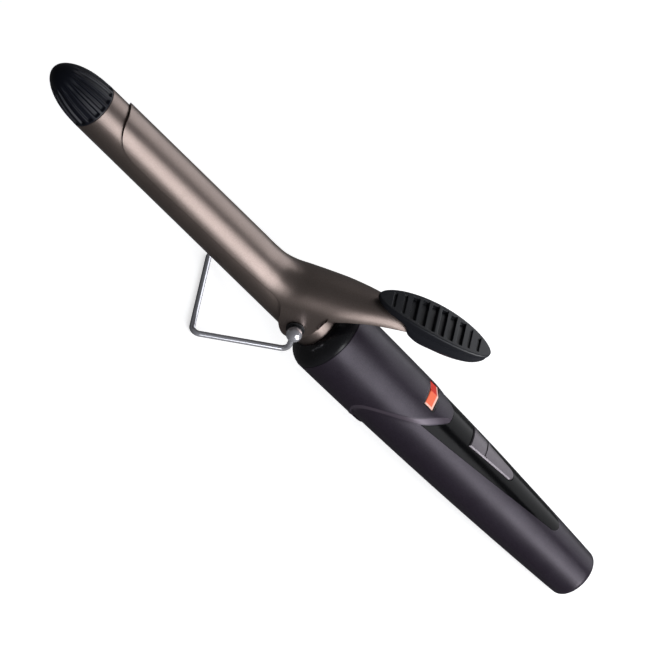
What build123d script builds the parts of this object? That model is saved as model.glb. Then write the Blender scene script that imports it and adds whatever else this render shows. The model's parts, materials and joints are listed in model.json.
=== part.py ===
"""Curling iron: heated barrel, spring clamp with a thumb lever, wire table stand and moulded handle.

Every piece is drawn in the iron's own axes, in millimetres: X runs along the barrel towards the tip,
Z points to the lever side and X = 0 is where the handle shells meet the nose collar. The last section
tips the whole iron onto its stand, so that Z = 0 is the table and the origin is the middle of its
footprint box.
"""

import os
from math import asin, atan2, cos, degrees, hypot, radians, sin, sqrt, tan

from build123d import *

# ---------------------------------------------------------------- driving dimensions
barrel_radius = 9.5
barrel_wall = 0.9
barrel_tip_x = 137.4
barrel_root_x = -18.0

tip_length = 22.5
flute_count = 18
flute_arc = 13.0
flute_depth = 0.75

pivot_x = 16.4
pin_radius = 1.5
pin_journal_radius = 1.2
running_gap = 0.05

sheet = 0.7
jaw_inner_radius = 9.7
ear_inner_y = 9.9
ear_radius = 5.95
jaw_front_x = 129.4

pad_slope = 20.3
pad_front = Vector(7.7, 0, 31.0)
pad_length = 47.8
pad_width = 15.8
pad_crown = 2.1
pad_split = -1.2
slot_pitch = 4.0
slot_count = 10

wire_radius = 1.1
ball_radius = 3.0
ball_y = 13.5
jog_x = 11.4
jog_z = -7.2
foot_half_width = 20.5
foot_x = 41.1
foot_z = -27.6

collar_neck_x = 6.1
collar_neck_radius = 10.2

handle_rear_x = -147.0
handle_front_radius = 14.75
handle_mid = (-81.0, 13.0)
handle_rear_radius = 9.7
handle_wall = 1.8
cowl_step = 0.62
split_front_z = -12.2
split_rear_z = -8.0
end_rounding = 3.0

inlay_front_x = -46.0
inlay_front_half = 10.95
inlay_bow = 0.7
inlay_rear_x = -123.0
inlay_rear_half = 3.7
inlay_depth = 1.0
inlay_proud = 0.12

key_front_x = -68.8
key_rear_x = -93.7
key_front_half = 4.75
key_rear_half = 2.55
key_ridge_x = -77.7
key_raise = 0.6
key_gap = 0.3
key_pin_x = -81.2
key_pin_z = 9.3

rocker_x = -44.2
rocker_length = 4.4
rocker_width = 11.4
rocker_pin_z = 11.0

board_top_z = 3.0
board_thickness = 1.6
board_front_x = -34.0
board_rear_x = -112.0
board_width = 14.0

bush_bore_radius = 3.6
bush_radius = 4.95
bush_seat_radius = 5.0
bush_inner_x = -136.0

screw_stations = (-27.0, -122.0)
screw_radius = 1.4

side = Plane.XZ  # local (x, y) is the iron's (X, Z), seen from the -Y side


def across(x):
    """The plane that cuts the iron square at station x, with local (x, y) = (Y, Z)."""
    return Plane.YZ.offset(x)


def handle_curve(offset=0.0):
    """The handle's long outline from its front rim to its rear end, moved outwards by offset."""
    return ThreePointArc(
        (0, handle_front_radius + offset),
        (handle_mid[0], handle_mid[1] + offset),
        (handle_rear_x, handle_rear_radius + offset),
    )


def circle_through(a, b, c):
    """Centre and radius of the circle through three (x, y) points."""
    (ax, ay), (bx, by), (cx, cy) = a, b, c
    twice_area = 2 * (ax * (by - cy) + bx * (cy - ay) + cx * (ay - by))
    sa, sb, sc = ax * ax + ay * ay, bx * bx + by * by, cx * cx + cy * cy
    x = (sa * (by - cy) + sb * (cy - ay) + sc * (ay - by)) / twice_area
    y = (sa * (cx - bx) + sb * (ax - cx) + sc * (bx - ax)) / twice_area
    return x, y, hypot(ax - x, ay - y)


def handle_radius(x):
    """The handle's outside radius at station x, on the arc that handle_curve draws."""
    cx, cy, bend = circle_through((0, handle_front_radius), handle_mid, (handle_rear_x, handle_rear_radius))
    return cy + sqrt(bend**2 - (x - cx) ** 2)


def handle_band(inner, outer):
    """A ring-shaped sketch outline that follows the handle between two offsets of its outline."""
    low = handle_curve(inner)
    high = handle_curve(outer)
    Line(low @ 0, high @ 0)
    Line(low @ 1, high @ 1)


# ---------------------------------------------------------------- barrel and cool tip
with BuildPart() as barrel:
    with BuildSketch(across(barrel_root_x)):
        Circle(barrel_radius)
        Circle(barrel_radius - barrel_wall, mode=Mode.SUBTRACT)
    extrude(amount=barrel_tip_x - barrel_root_x)
    with Locations((pivot_x, 0, 0)):
        Cylinder(pin_radius, 3 * barrel_radius, rotation=(90, 0, 0), mode=Mode.SUBTRACT)

spigot_radius = barrel_radius - barrel_wall
spigot_length = 12.0
rim_ring = 1.4

with BuildPart() as flute_cutter:
    with BuildSketch(side):
        with BuildLine():
            start_x = barrel_tip_x + rim_ring
            floor_length = 0.97 * tip_length
            floor_radius = barrel_radius - flute_depth
            floor = Bezier(
                (start_x, floor_radius),
                (start_x + 0.52 * floor_length, floor_radius),
                (start_x + 0.93 * floor_length, 0.5 * floor_radius),
                (start_x + 0.93 * floor_length, 0.32 * floor_radius),
            )
            Polyline(
                floor @ 1,
                (start_x + 0.93 * floor_length, 2 * barrel_radius),
                (start_x, 2 * barrel_radius),
                floor @ 0,
            )
        make_face()
    revolve(axis=Axis.X, revolution_arc=flute_arc)
    with BuildSketch(across(barrel_tip_x + 0.74 * tip_length)):
        Circle(3 * barrel_radius)
    extrude(amount=tip_length, mode=Mode.SUBTRACT)

with BuildPart() as cool_tip:
    with BuildSketch(side):
        with BuildLine():
            dome = Bezier(
                (barrel_tip_x, barrel_radius),
                (barrel_tip_x + 0.55 * tip_length, barrel_radius),
                (barrel_tip_x + tip_length, 0.42 * barrel_radius),
                (barrel_tip_x + tip_length, 0),
            )
            Polyline(
                dome @ 1,
                (barrel_tip_x - spigot_length, 0),
                (barrel_tip_x - spigot_length, spigot_radius),
                (barrel_tip_x, spigot_radius),
                dome @ 0,
            )
        make_face()
    revolve(axis=Axis.X)
    with Locations(*[Location((0, 0, 0), (i * 360 / flute_count, 0, 0)) for i in range(flute_count)]):
        add(flute_cutter.part, mode=Mode.SUBTRACT)

# ---------------------------------------------------------------- heater inside the barrel
film_inner_radius = 8.1
heater_front_x = 124.0
heater_rear_x = 30.0
stack_half = 1.65
plate_half = 1.1

with BuildPart() as insulating_film:
    with BuildSketch(across(heater_rear_x - 3)):
        Circle(barrel_radius - barrel_wall)
        Circle(film_inner_radius, mode=Mode.SUBTRACT)
    extrude(amount=heater_front_x - heater_rear_x + 4)

spreaders = []
for side_sign in (1, -1):
    with BuildPart() as spreader:
        with BuildSketch(across(heater_rear_x)):
            Circle(film_inner_radius)
            with Locations((0, side_sign * (stack_half - film_inner_radius))):
                Rectangle(4 * film_inner_radius, 2 * film_inner_radius, mode=Mode.SUBTRACT)
        extrude(amount=heater_front_x - heater_rear_x)
    spreaders.append(spreader)
upper_heat_spreader, lower_heat_spreader = spreaders

with BuildPart() as electrodes:
    with BuildSketch(across(heater_rear_x - 2)):
        for side_sign in (1, -1):
            with Locations((0, side_sign * (stack_half + plate_half) / 2)):
                Rectangle(9, stack_half - plate_half)
    extrude(amount=90)

with BuildPart() as heating_plates:
    with Locations(*[(heater_rear_x + 16 + 27 * i, 0, 0) for i in range(3)]):
        Box(24, 10, 2 * plate_half)

# ---------------------------------------------------------------- hinge pins and washers
ear_outer_y = ear_inner_y + sheet
washer_inner_y = ear_outer_y + 0.1
washer_outer_y = washer_inner_y + 0.5
ball_flat_y = washer_outer_y + 0.1
journal_end_y = ball_y + 0.6


def mirrored_in_y(half):
    """Both the piece that half describes on the +Y side and its mirror image."""
    add(half.part)
    mirror(half.part, about=Plane.XZ)


with BuildPart() as pin_half:
    with BuildSketch(Plane.XZ.offset(-(barrel_radius - barrel_wall - 1.0))):
        with Locations((pivot_x, 0)):
            Circle(2.6)
    extrude(amount=-0.62)
    with BuildSketch(Plane.XZ.offset(-(barrel_radius - barrel_wall - 0.9))):
        with Locations((pivot_x, 0)):
            Circle(pin_radius)
    extrude(amount=-(washer_outer_y - barrel_radius + barrel_wall + 0.9))
    with BuildSketch(Plane.XZ.offset(-washer_outer_y + 0.1)):
        with Locations((pivot_x, 0)):
            Circle(pin_journal_radius)
    extrude(amount=-(journal_end_y - washer_outer_y))

with BuildPart() as hinge_pins:
    mirrored_in_y(pin_half)

with BuildPart() as washer_half:
    with BuildSketch(Plane.XZ.offset(-washer_inner_y)):
        with Locations((pivot_x, 0)):
            Circle(3.5)
            Circle(pin_radius, mode=Mode.SUBTRACT)
    extrude(amount=-(washer_outer_y - washer_inner_y))

with BuildPart() as hinge_washers:
    mirrored_in_y(washer_half)

# ---------------------------------------------------------------- clamp: jaw, ears and lever in one sheet
bend_x = 41.0
lever_stations = (
    # station, half width, crown height, all of the outer face
    (bend_x, 10.4, 10.4),
    (36.0, 10.42, 10.95),
    (31.0, 10.5, 12.9),
    (26.0, 10.6, 16.2),
    (20.0, 10.6, 20.1),
    (13.0, 10.6, 24.3),
    (8.0, 9.7, 27.2),
    (0.0, 7.6, 31.2),
    (-10.0, 5.6, 34.6),
)


def arch(x, half_width, crown, thinner):
    """A closed arch standing on a low sill: the lever's section at x, inset by thinner."""
    with BuildSketch(across(x)) as section:
        with BuildLine():
            w = half_width - thinner
            spring_z = crown - half_width
            arc = ThreePointArc((-w, spring_z), (0, spring_z + w), (w, spring_z))
            Polyline(arc @ 1, (w, -9), (-w, -9), arc @ 0)
        make_face()
    return section.sketch


with BuildPart() as lever_envelope:
    loft([arch(x, w, crown, 0) for x, w, crown in lever_stations])

with BuildPart() as lever_hollow:
    loft([arch(x, w, crown, sheet) for x, w, crown in lever_stations])
    with BuildSketch(across(lever_stations[-1][0])):
        with Locations((0, 12)):
            Rectangle(2 * (lever_stations[-1][1] - sheet), 42)

with BuildPart() as clamp:
    with BuildSketch(across(bend_x)):
        Circle(jaw_inner_radius + sheet)
        Circle(jaw_inner_radius, mode=Mode.SUBTRACT)
    extrude(amount=jaw_front_x - bend_x)
    add(lever_envelope.part)
    add(lever_hollow.part, mode=Mode.SUBTRACT)
    with BuildSketch(side):
        with BuildLine():
            nose = Spline(
                (jaw_front_x, 10.6),
                (jaw_front_x - 0.25, 9.8),
                (jaw_front_x - 1.2, 8.2),
                (jaw_front_x - 3.8, 5.5),
                (jaw_front_x - 7.4, 3.35),
                (jaw_front_x - 12.4, 2.15),
                (jaw_front_x - 20.4, 1.9),
            )
            edge = Spline(nose @ 1, (80, 2.3), (50, 2.8), (40, 3.2), tangents=(nose % 1, (-1, 0.08)))
            hem = Spline(
                edge @ 1,
                (33.0, 3.65),
                (29.7, 3.2),
                (25.6, 0.2),
                (22.1, -3.6),
                (pivot_x, -ear_radius),
                tangents=((-1, 0.08), (-1, 0)),
            )
            heel = ThreePointArc(hem @ 1, (pivot_x - 4.2, -3.9), (pivot_x - 5.7, 0.6))
            throat = Spline(
                heel @ 1,
                (11.6, 6.0),
                (14.2, 11.2),
                (10.6, 16.0),
                (5.5, 21.2),
                (-2.6, 27.0),
                (-11, 31.9),
            )
            Polyline(throat @ 1, (-11, 50), (20, 50), (jaw_front_x, 20), nose @ 0)
        make_face()
    extrude(amount=30, both=True, mode=Mode.INTERSECT)
    with Locations((pivot_x, 0, 0)):
        Cylinder(pin_radius + running_gap, 60, rotation=(90, 0, 0), mode=Mode.SUBTRACT)


# ---------------------------------------------------------------- thumb rest on the end of the lever
slope_sin = sin(radians(pad_slope))
slope_cos = cos(radians(pad_slope))
pad_side = Plane(origin=pad_front, x_dir=(-slope_cos, 0, slope_sin), z_dir=(0, 1, 0))
pad_level = Plane(origin=pad_front, x_dir=(-slope_cos, 0, slope_sin), z_dir=(slope_sin, 0, slope_cos))
pad_half = pad_length / 2
stud_stations = (9.0, 15.0)
stud_radius = 1.1


def crown_height(distance):
    """Height of the thumb rest's top above its rim plane, at a distance from the middle."""
    return pad_crown * (1 - (distance / pad_half) ** 2)


with BuildPart() as thumb_rest_top:
    with BuildSketch(pad_side):
        with BuildLine():
            crown = ThreePointArc((0, 0), (pad_half, pad_crown), (pad_length, 0))
            Polyline(crown @ 1, (pad_length, pad_split), (0, pad_split), crown @ 0)
        make_face()
    extrude(amount=pad_width, both=True)
    with BuildSketch(pad_level):
        with Locations((pad_half, 0)):
            Ellipse(pad_half, pad_width / 2)
    extrude(amount=20, both=True, mode=Mode.INTERSECT)
    fillet(thumb_rest_top.edges().filter_by(lambda e: pad_level.to_local_coords(e @ 0.4).Z > 0.1), 0.6)
    for i in range(slot_count):
        distance = (i - (slot_count - 1) / 2) * slot_pitch
        wide = abs(distance) < 11
        floor_height = crown_height(distance) - (1.9 if wide else 0.7)
        with BuildSketch(pad_level.offset(floor_height)):
            with Locations((pad_half + distance, 0)):
                SlotOverall(12.2 * (1 - (distance / 26) ** 2), 2.0 if wide else 0.9, rotation=90)
        extrude(amount=10, mode=Mode.SUBTRACT)
    with BuildSketch(pad_level.offset(pad_split)):
        with Locations(*[(t, 0) for t in stud_stations]):
            Circle(stud_radius)
    extrude(amount=1.2, mode=Mode.SUBTRACT)

with BuildPart() as thumb_rest_base:
    with BuildSketch(pad_side):
        with BuildLine():
            keel = Spline((18.4, -8.2), (28, -8.5), (38, -7.7), (44, -6.3), (pad_length, -4.4))
            stem = Spline((13.6, pad_split - 1.25), (15.2, -5.4), keel @ 0, tangents=((0.3, -1), keel % 0))
            Polyline(keel @ 1, (pad_length, pad_split), (0.3, pad_split), (0.9, pad_split - 1.25), stem @ 0)
        make_face()
    extrude(amount=pad_width, both=True)
    with BuildSketch(pad_level):
        with Locations((pad_half, 0)):
            Ellipse(pad_half - 0.3, pad_width / 2 - 0.3)
    extrude(amount=20, both=True, mode=Mode.INTERSECT)
    with BuildSketch(Plane(origin=pad_front, x_dir=(0, 1, 0), z_dir=pad_level.x_dir)):
        RectangleRounded(pad_width + 0.4, 17.0, 3.6)
    extrude(amount=60, mode=Mode.INTERSECT)
    add(lever_envelope.part, mode=Mode.SUBTRACT)
    with BuildSketch(pad_level.offset(pad_split)):
        with Locations(*[(t, 0) for t in stud_stations]):
            Circle(stud_radius)
    extrude(amount=-6, mode=Mode.SUBTRACT)

with BuildPart() as thumb_rest_studs:
    with BuildSketch(pad_level.offset(pad_split + 1.2)):
        with Locations(*[(t, 0) for t in stud_stations]):
            Circle(stud_radius)
    extrude(amount=-(4.1 + pad_split + 1.2))
    with BuildSketch(pad_level.offset(-4.1)):
        with Locations(*[(t, 0) for t in stud_stations]):
            Circle(2.0)
    extrude(amount=-0.9)

with BuildPart() as drilled_clamp:
    add(clamp.part)
    add(thumb_rest_studs.part, mode=Mode.SUBTRACT)
clamp = drilled_clamp

# ---------------------------------------------------------------- leaf spring under the lever
with BuildPart() as clamp_spring:
    with BuildSketch(side):
        with BuildLine():
            foot = Line((26, barrel_radius + 0.25), (13, barrel_radius + 0.25))
            bend = TangentArc(foot @ 1, (13, barrel_radius + 5.45), tangent=foot % 1)
            rise = Spline(bend @ 1, (15.5, 16.2), (14.6, 21.6), tangents=(bend % 1, (-0.35, 1)))
        trace(line_width=0.5)
    extrude(amount=3, both=True)

# ---------------------------------------------------------------- wire stand
def rounded(points, radius):
    """A line through points in which every inner corner is rounded to the given radius."""
    corners = [Vector(*p) for p in points]
    here = corners[0]
    for before, corner, after in zip(corners, corners[1:], corners[2:]):
        arriving = (corner - before).normalized()
        leaving = (after - corner).normalized()
        reach = radius * tan(radians(arriving.get_angle(leaving)) / 2)
        Line(here, corner - arriving * reach)
        here = corner + leaving * reach
        TangentArc(corner - arriving * reach, here, tangent=arriving)
    Line(here, corners[-1])


def thread_of(radius, bend_radius, points):
    """A round wire of the given radius that runs through points."""
    with BuildPart() as wire:
        with BuildLine() as path:
            rounded(points, bend_radius)
        start = path.line @ 0
        with BuildSketch(Plane(origin=start, z_dir=path.line % 0)):
            Circle(radius)
        sweep(path=path.line)
    return wire.part


jog_reach = hypot(jog_x - pivot_x, jog_z)
wire_start = (pivot_x + 1.75 * (jog_x - pivot_x) / jog_reach, ball_y, 1.75 * jog_z / jog_reach)
jog = (jog_x, ball_y, jog_z)
corner = (foot_x, foot_half_width, foot_z)
near_side = [wire_start, jog, corner]
far_side = [(x, -y, z) for x, y, z in reversed(near_side)]

with BuildPart() as stand_wire:
    add(thread_of(wire_radius, 2.6, near_side + far_side))

socket_length = 2 * journal_end_y + 0.2

with BuildPart() as stand_balls:
    with Locations((pivot_x, ball_y, 0), (pivot_x, -ball_y, 0)):
        Sphere(ball_radius)
    with Locations((pivot_x, 0, 0)):
        Cylinder(10, 2 * ball_flat_y, rotation=(90, 0, 0), mode=Mode.SUBTRACT)
        Cylinder(pin_journal_radius + running_gap, socket_length, rotation=(90, 0, 0), mode=Mode.SUBTRACT)
    add(stand_wire.part, mode=Mode.SUBTRACT)

# ---------------------------------------------------------------- nose collar and barrel supports
sleeve_radius = 10.7
groove = 0.25
spigot_outer = handle_front_radius - handle_wall

with BuildPart() as insulator_sleeve:
    with BuildSketch(across(-11)):
        Circle(sleeve_radius)
        Circle(barrel_radius, mode=Mode.SUBTRACT)
    extrude(amount=14.6)

with BuildPart() as front_collar:
    with BuildSketch(side):
        with BuildLine():
            shoulder = Spline(
                (collar_neck_x - 0.2, 11.0),
                (4.2, 13.2),
                (3.0, 14.25),
                (1.3, 15.05),
                (groove, 15.3),
            )
            Polyline(
                shoulder @ 1,
                (groove, spigot_outer - 0.05),
                (-8, spigot_outer - 0.2),
                (-8, sleeve_radius),
                (3.6, sleeve_radius),
                (3.6, barrel_radius),
                (collar_neck_x, barrel_radius),
                (collar_neck_x, collar_neck_radius),
                shoulder @ 0,
            )
        make_face()
    revolve(axis=Axis.X)

with BuildPart() as barrel_carrier:
    with BuildSketch(across(barrel_root_x)):
        Circle(handle_radius(barrel_root_x) - handle_wall - 0.05)
        Circle(barrel_radius, mode=Mode.SUBTRACT)
    extrude(amount=5)

# ---------------------------------------------------------------- handle shells
with BuildPart() as cowl_zone:
    with BuildSketch(side):
        with BuildLine():
            sweep_edge = Spline(
                (-57.1, 14.7),
                (-56.3, 13.4),
                (-54.7, 12.75),
                (-50.6, 10.9),
                (-45.9, 8.6),
                (-39.7, 6.05),
                (-33.9, 3.4),
                (-28.6, 0.05),
                (-25.7, -3.7),
            )
            under_edge = Spline(sweep_edge @ 1, (-26.6, -7.4), (-33.5, -11.8), (-42.8, -17))
            Polyline(under_edge @ 1, (5, -17), (5, 22), (-57.1, 22), sweep_edge @ 0)
        make_face()
    extrude(amount=30, both=True)


def long_prism(outline_points, low=0.0, high=30.0):
    """An upright prism over an outline in the (X, Y) plane."""
    with BuildPart() as prism:
        with BuildSketch(Plane.XY.offset(low)):
            with BuildLine():
                Polyline(*outline_points, close=True)
            make_face()
        extrude(amount=high - low)
    return prism.part


def tapered_outline(front_x, front_half, rear_x, rear_half, bow=0.0, grow=0.0):
    """An upright prism whose outline narrows towards the rear, where a half circle closes it.

    bow is how far each long edge stands outside the straight line between its ends."""
    front = front_x + grow
    a = front_half + grow
    b = rear_half + grow
    hub = rear_x + rear_half
    with BuildPart() as prism:
        with BuildSketch(Plane.XY):
            with BuildLine():
                middle = (a + b) / 2 + bow
                near = Spline((front, a), ((front + hub) / 2, middle), (hub, b))
                far = Spline((front, -a), ((front + hub) / 2, -middle), (hub, -b))
                Line(near @ 0, far @ 0)
                ThreePointArc(near @ 1, (rear_x - grow, 0), far @ 1)
            make_face()
        extrude(amount=30)
    return prism.part


inlay_prism = tapered_outline(inlay_front_x, inlay_front_half, inlay_rear_x, inlay_rear_half, inlay_bow)
key_prism = tapered_outline(key_front_x, key_front_half, key_rear_x, key_rear_half)
key_hole = tapered_outline(key_front_x, key_front_half, key_rear_x, key_rear_half, grow=key_gap)


def rocker_prism(grow):
    """An upright prism over the rocker's outline, grown by grow on every side."""
    a = rocker_length / 2 + grow
    b = rocker_width / 2 + grow
    return long_prism([(rocker_x - a, -b), (rocker_x + a, -b), (rocker_x + a, b), (rocker_x - a, b)])


def skin(inner, outer):
    """The layer between two offsets of the handle's outside surface."""
    with BuildPart() as layer:
        with BuildSketch(side):
            with BuildLine():
                handle_band(inner, outer)
            make_face()
        revolve(axis=Axis.X)
    return layer.part


boss_radius = 2.8
rear_wall = 4.0
clamp_post_x = -130.0
clamp_post_y = 4.9
post_radius = 1.7
board_posts = (-37.0, -100.0)
rocker_gap = 0.3
frame_width = 0.45


def boss_foot(x):
    """Height of a screw boss's lower end, just clear of the cover."""
    inner = handle_radius(x) - handle_wall
    return -sqrt(inner**2 - boss_radius**2) + 0.1


with BuildPart() as handle_blank:
    add(skin(0, cowl_step))
    add(cowl_zone.part, mode=Mode.INTERSECT)
    add(skin(-handle_wall, 0))
    with BuildSketch(across(handle_rear_x)):
        Circle(handle_rear_radius)
    extrude(amount=rear_wall)
    fillet(handle_blank.edges().filter_by(GeomType.CIRCLE).group_by(Axis.X)[0], end_rounding)
    with BuildSketch(across(handle_rear_x - 1)):
        Circle(bush_seat_radius)
    extrude(amount=30, mode=Mode.SUBTRACT)
    add(skin(-inlay_depth, 5) & inlay_prism, mode=Mode.SUBTRACT)


with BuildPart() as cover_zone:
    with BuildSketch(side):
        with BuildLine():
            Polyline(
                (1, split_front_z),
                (handle_rear_x - 1, split_rear_z),
                (handle_rear_x - 1, -20),
                (1, -20),
                close=True,
            )
        make_face()
    extrude(amount=30, both=True)

with BuildPart() as upper_shell:
    add(handle_blank.part)
    add(cover_zone.part, mode=Mode.SUBTRACT)
    for x in screw_stations:
        with BuildSketch(Plane.XY.offset(boss_foot(x))):
            with Locations((x, 0)):
                Circle(boss_radius)
        extrude(until=Until.NEXT)
        with BuildSketch(Plane.XY.offset(boss_foot(x))):
            with Locations((x, 0)):
                Circle(screw_radius)
        extrude(amount=9, mode=Mode.SUBTRACT)
    with BuildSketch(Plane.XY.offset(board_top_z)):
        with Locations(*[(x, 0) for x in board_posts]):
            Circle(2.4)
    extrude(until=Until.NEXT)
    with BuildSketch(Plane.XY.offset(board_top_z)):
        with Locations(*[(x, 0) for x in board_posts]):
            Circle(1.0)
    extrude(amount=5, mode=Mode.SUBTRACT)
    with BuildSketch(Plane.XY.offset(-2.8)):
        with Locations((clamp_post_x, clamp_post_y), (clamp_post_x, -clamp_post_y)):
            Circle(post_radius)
    extrude(until=Until.NEXT)
    with BuildSketch(Plane.XY.offset(-2.8)):
        with Locations((clamp_post_x, clamp_post_y), (clamp_post_x, -clamp_post_y)):
            Circle(0.8)
    extrude(amount=6, mode=Mode.SUBTRACT)
    add(key_hole, mode=Mode.SUBTRACT)
    add(rocker_prism(rocker_gap + frame_width), mode=Mode.SUBTRACT)

head_radius = 2.6
head_depth = 1.2


def screw_seat(x):
    """Height of the flat on which a cover screw's head bears."""
    raised = cowl_step if x > -40 else 0
    return -handle_radius(x) - raised + head_depth + 0.25


with BuildPart() as cover_screws:
    for x in screw_stations:
        with BuildSketch(Plane.XY.offset(screw_seat(x))):
            with Locations((x, 0)):
                Circle(screw_radius)
        extrude(amount=9)
        with BuildSketch(Plane.XY.offset(screw_seat(x))):
            with Locations((x, 0)):
                Circle(head_radius)
        extrude(amount=-head_depth)
        with BuildSketch(Plane.XY.offset(screw_seat(x) - head_depth)):
            with Locations((x, 0)):
                Rectangle(3.2, 0.7)
                Rectangle(0.7, 3.2)
        extrude(amount=0.7, mode=Mode.SUBTRACT)

with BuildPart() as underside_cover:
    add(handle_blank.part)
    add(cover_zone.part, mode=Mode.INTERSECT)
    for x in screw_stations:
        with BuildSketch(Plane.XY.offset(screw_seat(x))):
            with Locations((x, 0)):
                Circle(head_radius)
        extrude(amount=-8, mode=Mode.SUBTRACT)
        with BuildSketch(Plane.XY.offset(screw_seat(x))):
            with Locations((x, 0)):
                Circle(screw_radius)
        extrude(amount=8, mode=Mode.SUBTRACT)

# ---------------------------------------------------------------- panel, key and lamp window on the handle
with BuildPart() as inlay_panel:
    add(skin(-inlay_depth, inlay_proud) & inlay_prism)
    add(cowl_zone.part, mode=Mode.SUBTRACT)
    add(key_hole, mode=Mode.SUBTRACT)

key_lug_x = (key_pin_x - 1.2, key_pin_x + 1.2)
switch_stations = (-73.0, -89.5)
plunger_top = board_top_z + 4.3
stem_foot = plunger_top + 0.8



def stands_proud(edge):
    """Whether an edge of the key lies on its raised top."""
    middle = edge @ 0.5
    return hypot(middle.Y, middle.Z) > handle_radius(middle.X) + 0.5


with BuildPart() as ridge:
    add(skin(0, key_raise + 0.3) & key_prism)
    with BuildSketch(side):
        with Locations((key_ridge_x, 14)):
            Rectangle(1.2, 10)
    extrude(amount=key_front_half - 1.3, both=True, mode=Mode.INTERSECT)

with BuildPart() as heat_key:
    add(skin(-1.6, key_raise) & key_prism)
    chamfer(heat_key.edges().filter_by(stands_proud), 0.42)
    add(ridge.part)
    with BuildSketch(Plane.XZ.offset(-3.1)):
        with Locations((key_pin_x, (key_pin_z - 1.2 + 12) / 2)):
            Rectangle(2.4, 12 - key_pin_z + 1.2)
    extrude(amount=6.2)
    with Locations((key_pin_x, 0, 0)):
        Box(6, 4.2, 2 * (handle_radius(key_pin_x) - 1.7), mode=Mode.SUBTRACT)
    with BuildSketch(Plane.XY.offset(stem_foot)):
        with Locations(*[(x, 0) for x in switch_stations]):
            Circle(1.1)
    extrude(amount=handle_radius(key_pin_x) - 1.2 - stem_foot)
    with Locations((key_pin_x, 0, key_pin_z)):
        Cylinder(0.7 + running_gap, 20, rotation=(90, 0, 0), mode=Mode.SUBTRACT)

with BuildPart() as key_pin:
    with Locations((key_pin_x, 0, key_pin_z)):
        Cylinder(0.7, 9.0, rotation=(90, 0, 0))

with BuildPart() as key_bracket:
    with BuildSketch(across(key_pin_x - 1.5)):
        with Locations((0, (board_top_z + key_pin_z + 0.85) / 2)):
            Rectangle(9.0, key_pin_z + 0.85 - board_top_z)
        with Locations((0, board_top_z + 1.2 + 5)):
            Rectangle(7.0, 10, mode=Mode.SUBTRACT)
    extrude(amount=3)
    with Locations((key_pin_x, 0, key_pin_z)):
        Cylinder(0.7, 20, rotation=(90, 0, 0), mode=Mode.SUBTRACT)

with BuildPart() as key_switches:
    with Locations(*[(x, 0, board_top_z + 1.75) for x in switch_stations]):
        Box(6, 6, 3.5)
    with BuildSketch(Plane.XY.offset(board_top_z + 3.5)):
        with Locations(*[(x, 0) for x in switch_stations]):
            Circle(1.4)
    extrude(amount=plunger_top - board_top_z - 3.5)

housing_top = 12.0
housing_foot = 8.6
rocker_ridge_z = handle_radius(rocker_x) + cowl_step + 0.45
rocker_end_z = sqrt((handle_radius(rocker_x) + cowl_step) ** 2 - (rocker_width / 2) ** 2) - 0.1

with BuildPart() as power_rocker:
    with BuildSketch(across(rocker_x - rocker_length / 2)):
        with BuildLine():
            Polyline(
                (-rocker_width / 2, rocker_end_z),
                (0, rocker_ridge_z),
                (rocker_width / 2, rocker_end_z),
                (rocker_width / 2, rocker_end_z - 2.2),
                (1.6, 9.6),
                (-1.6, 9.6),
                (-rocker_width / 2, rocker_end_z - 2.2),
                close=True,
            )
        make_face()
    extrude(amount=rocker_length)
    fillet(power_rocker.edges().filter_by(lambda e: (e @ 0.5).Z > rocker_end_z - 0.1), 0.25)
    with Locations((rocker_x, 0, rocker_pin_z)):
        Cylinder(0.7, rocker_length + 2.2, rotation=(0, 90, 0))

with BuildPart() as rocker_cradle:
    with Locations((rocker_x, 0, (housing_foot + housing_top) / 2)):
        Box(rocker_length + 3.2, rocker_width + 0.4, housing_top - housing_foot)
    with Locations((rocker_x, 0, 0)):
        Cylinder(handle_radius(rocker_x) - handle_wall - 0.2, 20, rotation=(0, 90, 0), mode=Mode.INTERSECT)

with BuildPart() as rocker_housing:
    add(skin(-handle_wall - 0.9, cowl_step + 0.04) & rocker_prism(rocker_gap + frame_width))
    add(rocker_cradle.part)
    add(rocker_prism(rocker_gap), mode=Mode.SUBTRACT)
    with Locations((rocker_x, 0, rocker_pin_z)):
        Cylinder(0.7 + running_gap, rocker_length + 2.3, rotation=(0, 90, 0), mode=Mode.SUBTRACT)

with BuildPart() as pilot_lamp:
    with Locations((rocker_x, 0, board_top_z + 1.7)):
        Cylinder(1.5, 3.4)
    with Locations((rocker_x, 0, board_top_z + 3.4)):
        Sphere(1.5)

# ---------------------------------------------------------------- circuit board and what it carries
board_length = board_front_x - board_rear_x
board_mid_x = (board_front_x + board_rear_x) / 2

with BuildPart() as circuit_board:
    with Locations((board_mid_x, 0, board_top_z - board_thickness / 2)):
        Box(board_length, board_width, board_thickness)
    with Locations(*[(x, 0, board_top_z) for x in board_posts]):
        Cylinder(1.0, 10, mode=Mode.SUBTRACT)

with BuildPart() as board_screws:
    with BuildSketch(Plane.XY.offset(board_top_z - board_thickness)):
        with Locations(*[(x, 0) for x in board_posts]):
            Circle(1.0)
    extrude(amount=5.5)
    with BuildSketch(Plane.XY.offset(board_top_z - board_thickness)):
        with Locations(*[(x, 0) for x in board_posts]):
            Circle(1.9)
    extrude(amount=-1.2)

with BuildPart() as power_triac:
    with Locations((-53.0, 0, board_top_z + 3.6)):
        Box(4.4, 9.8, 6.0)
    with Locations(*[(-53.0, y, board_top_z + 0.3) for y in (-2.5, 0, 2.5)]):
        Box(0.6, 0.9, 0.6)

with BuildPart() as film_capacitor:
    with Locations((-62.0, 0, board_top_z + 3.25)):
        Box(6.0, 11.0, 6.5)
    fillet(film_capacitor.edges().filter_by(Axis.Z), 0.8)

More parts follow.
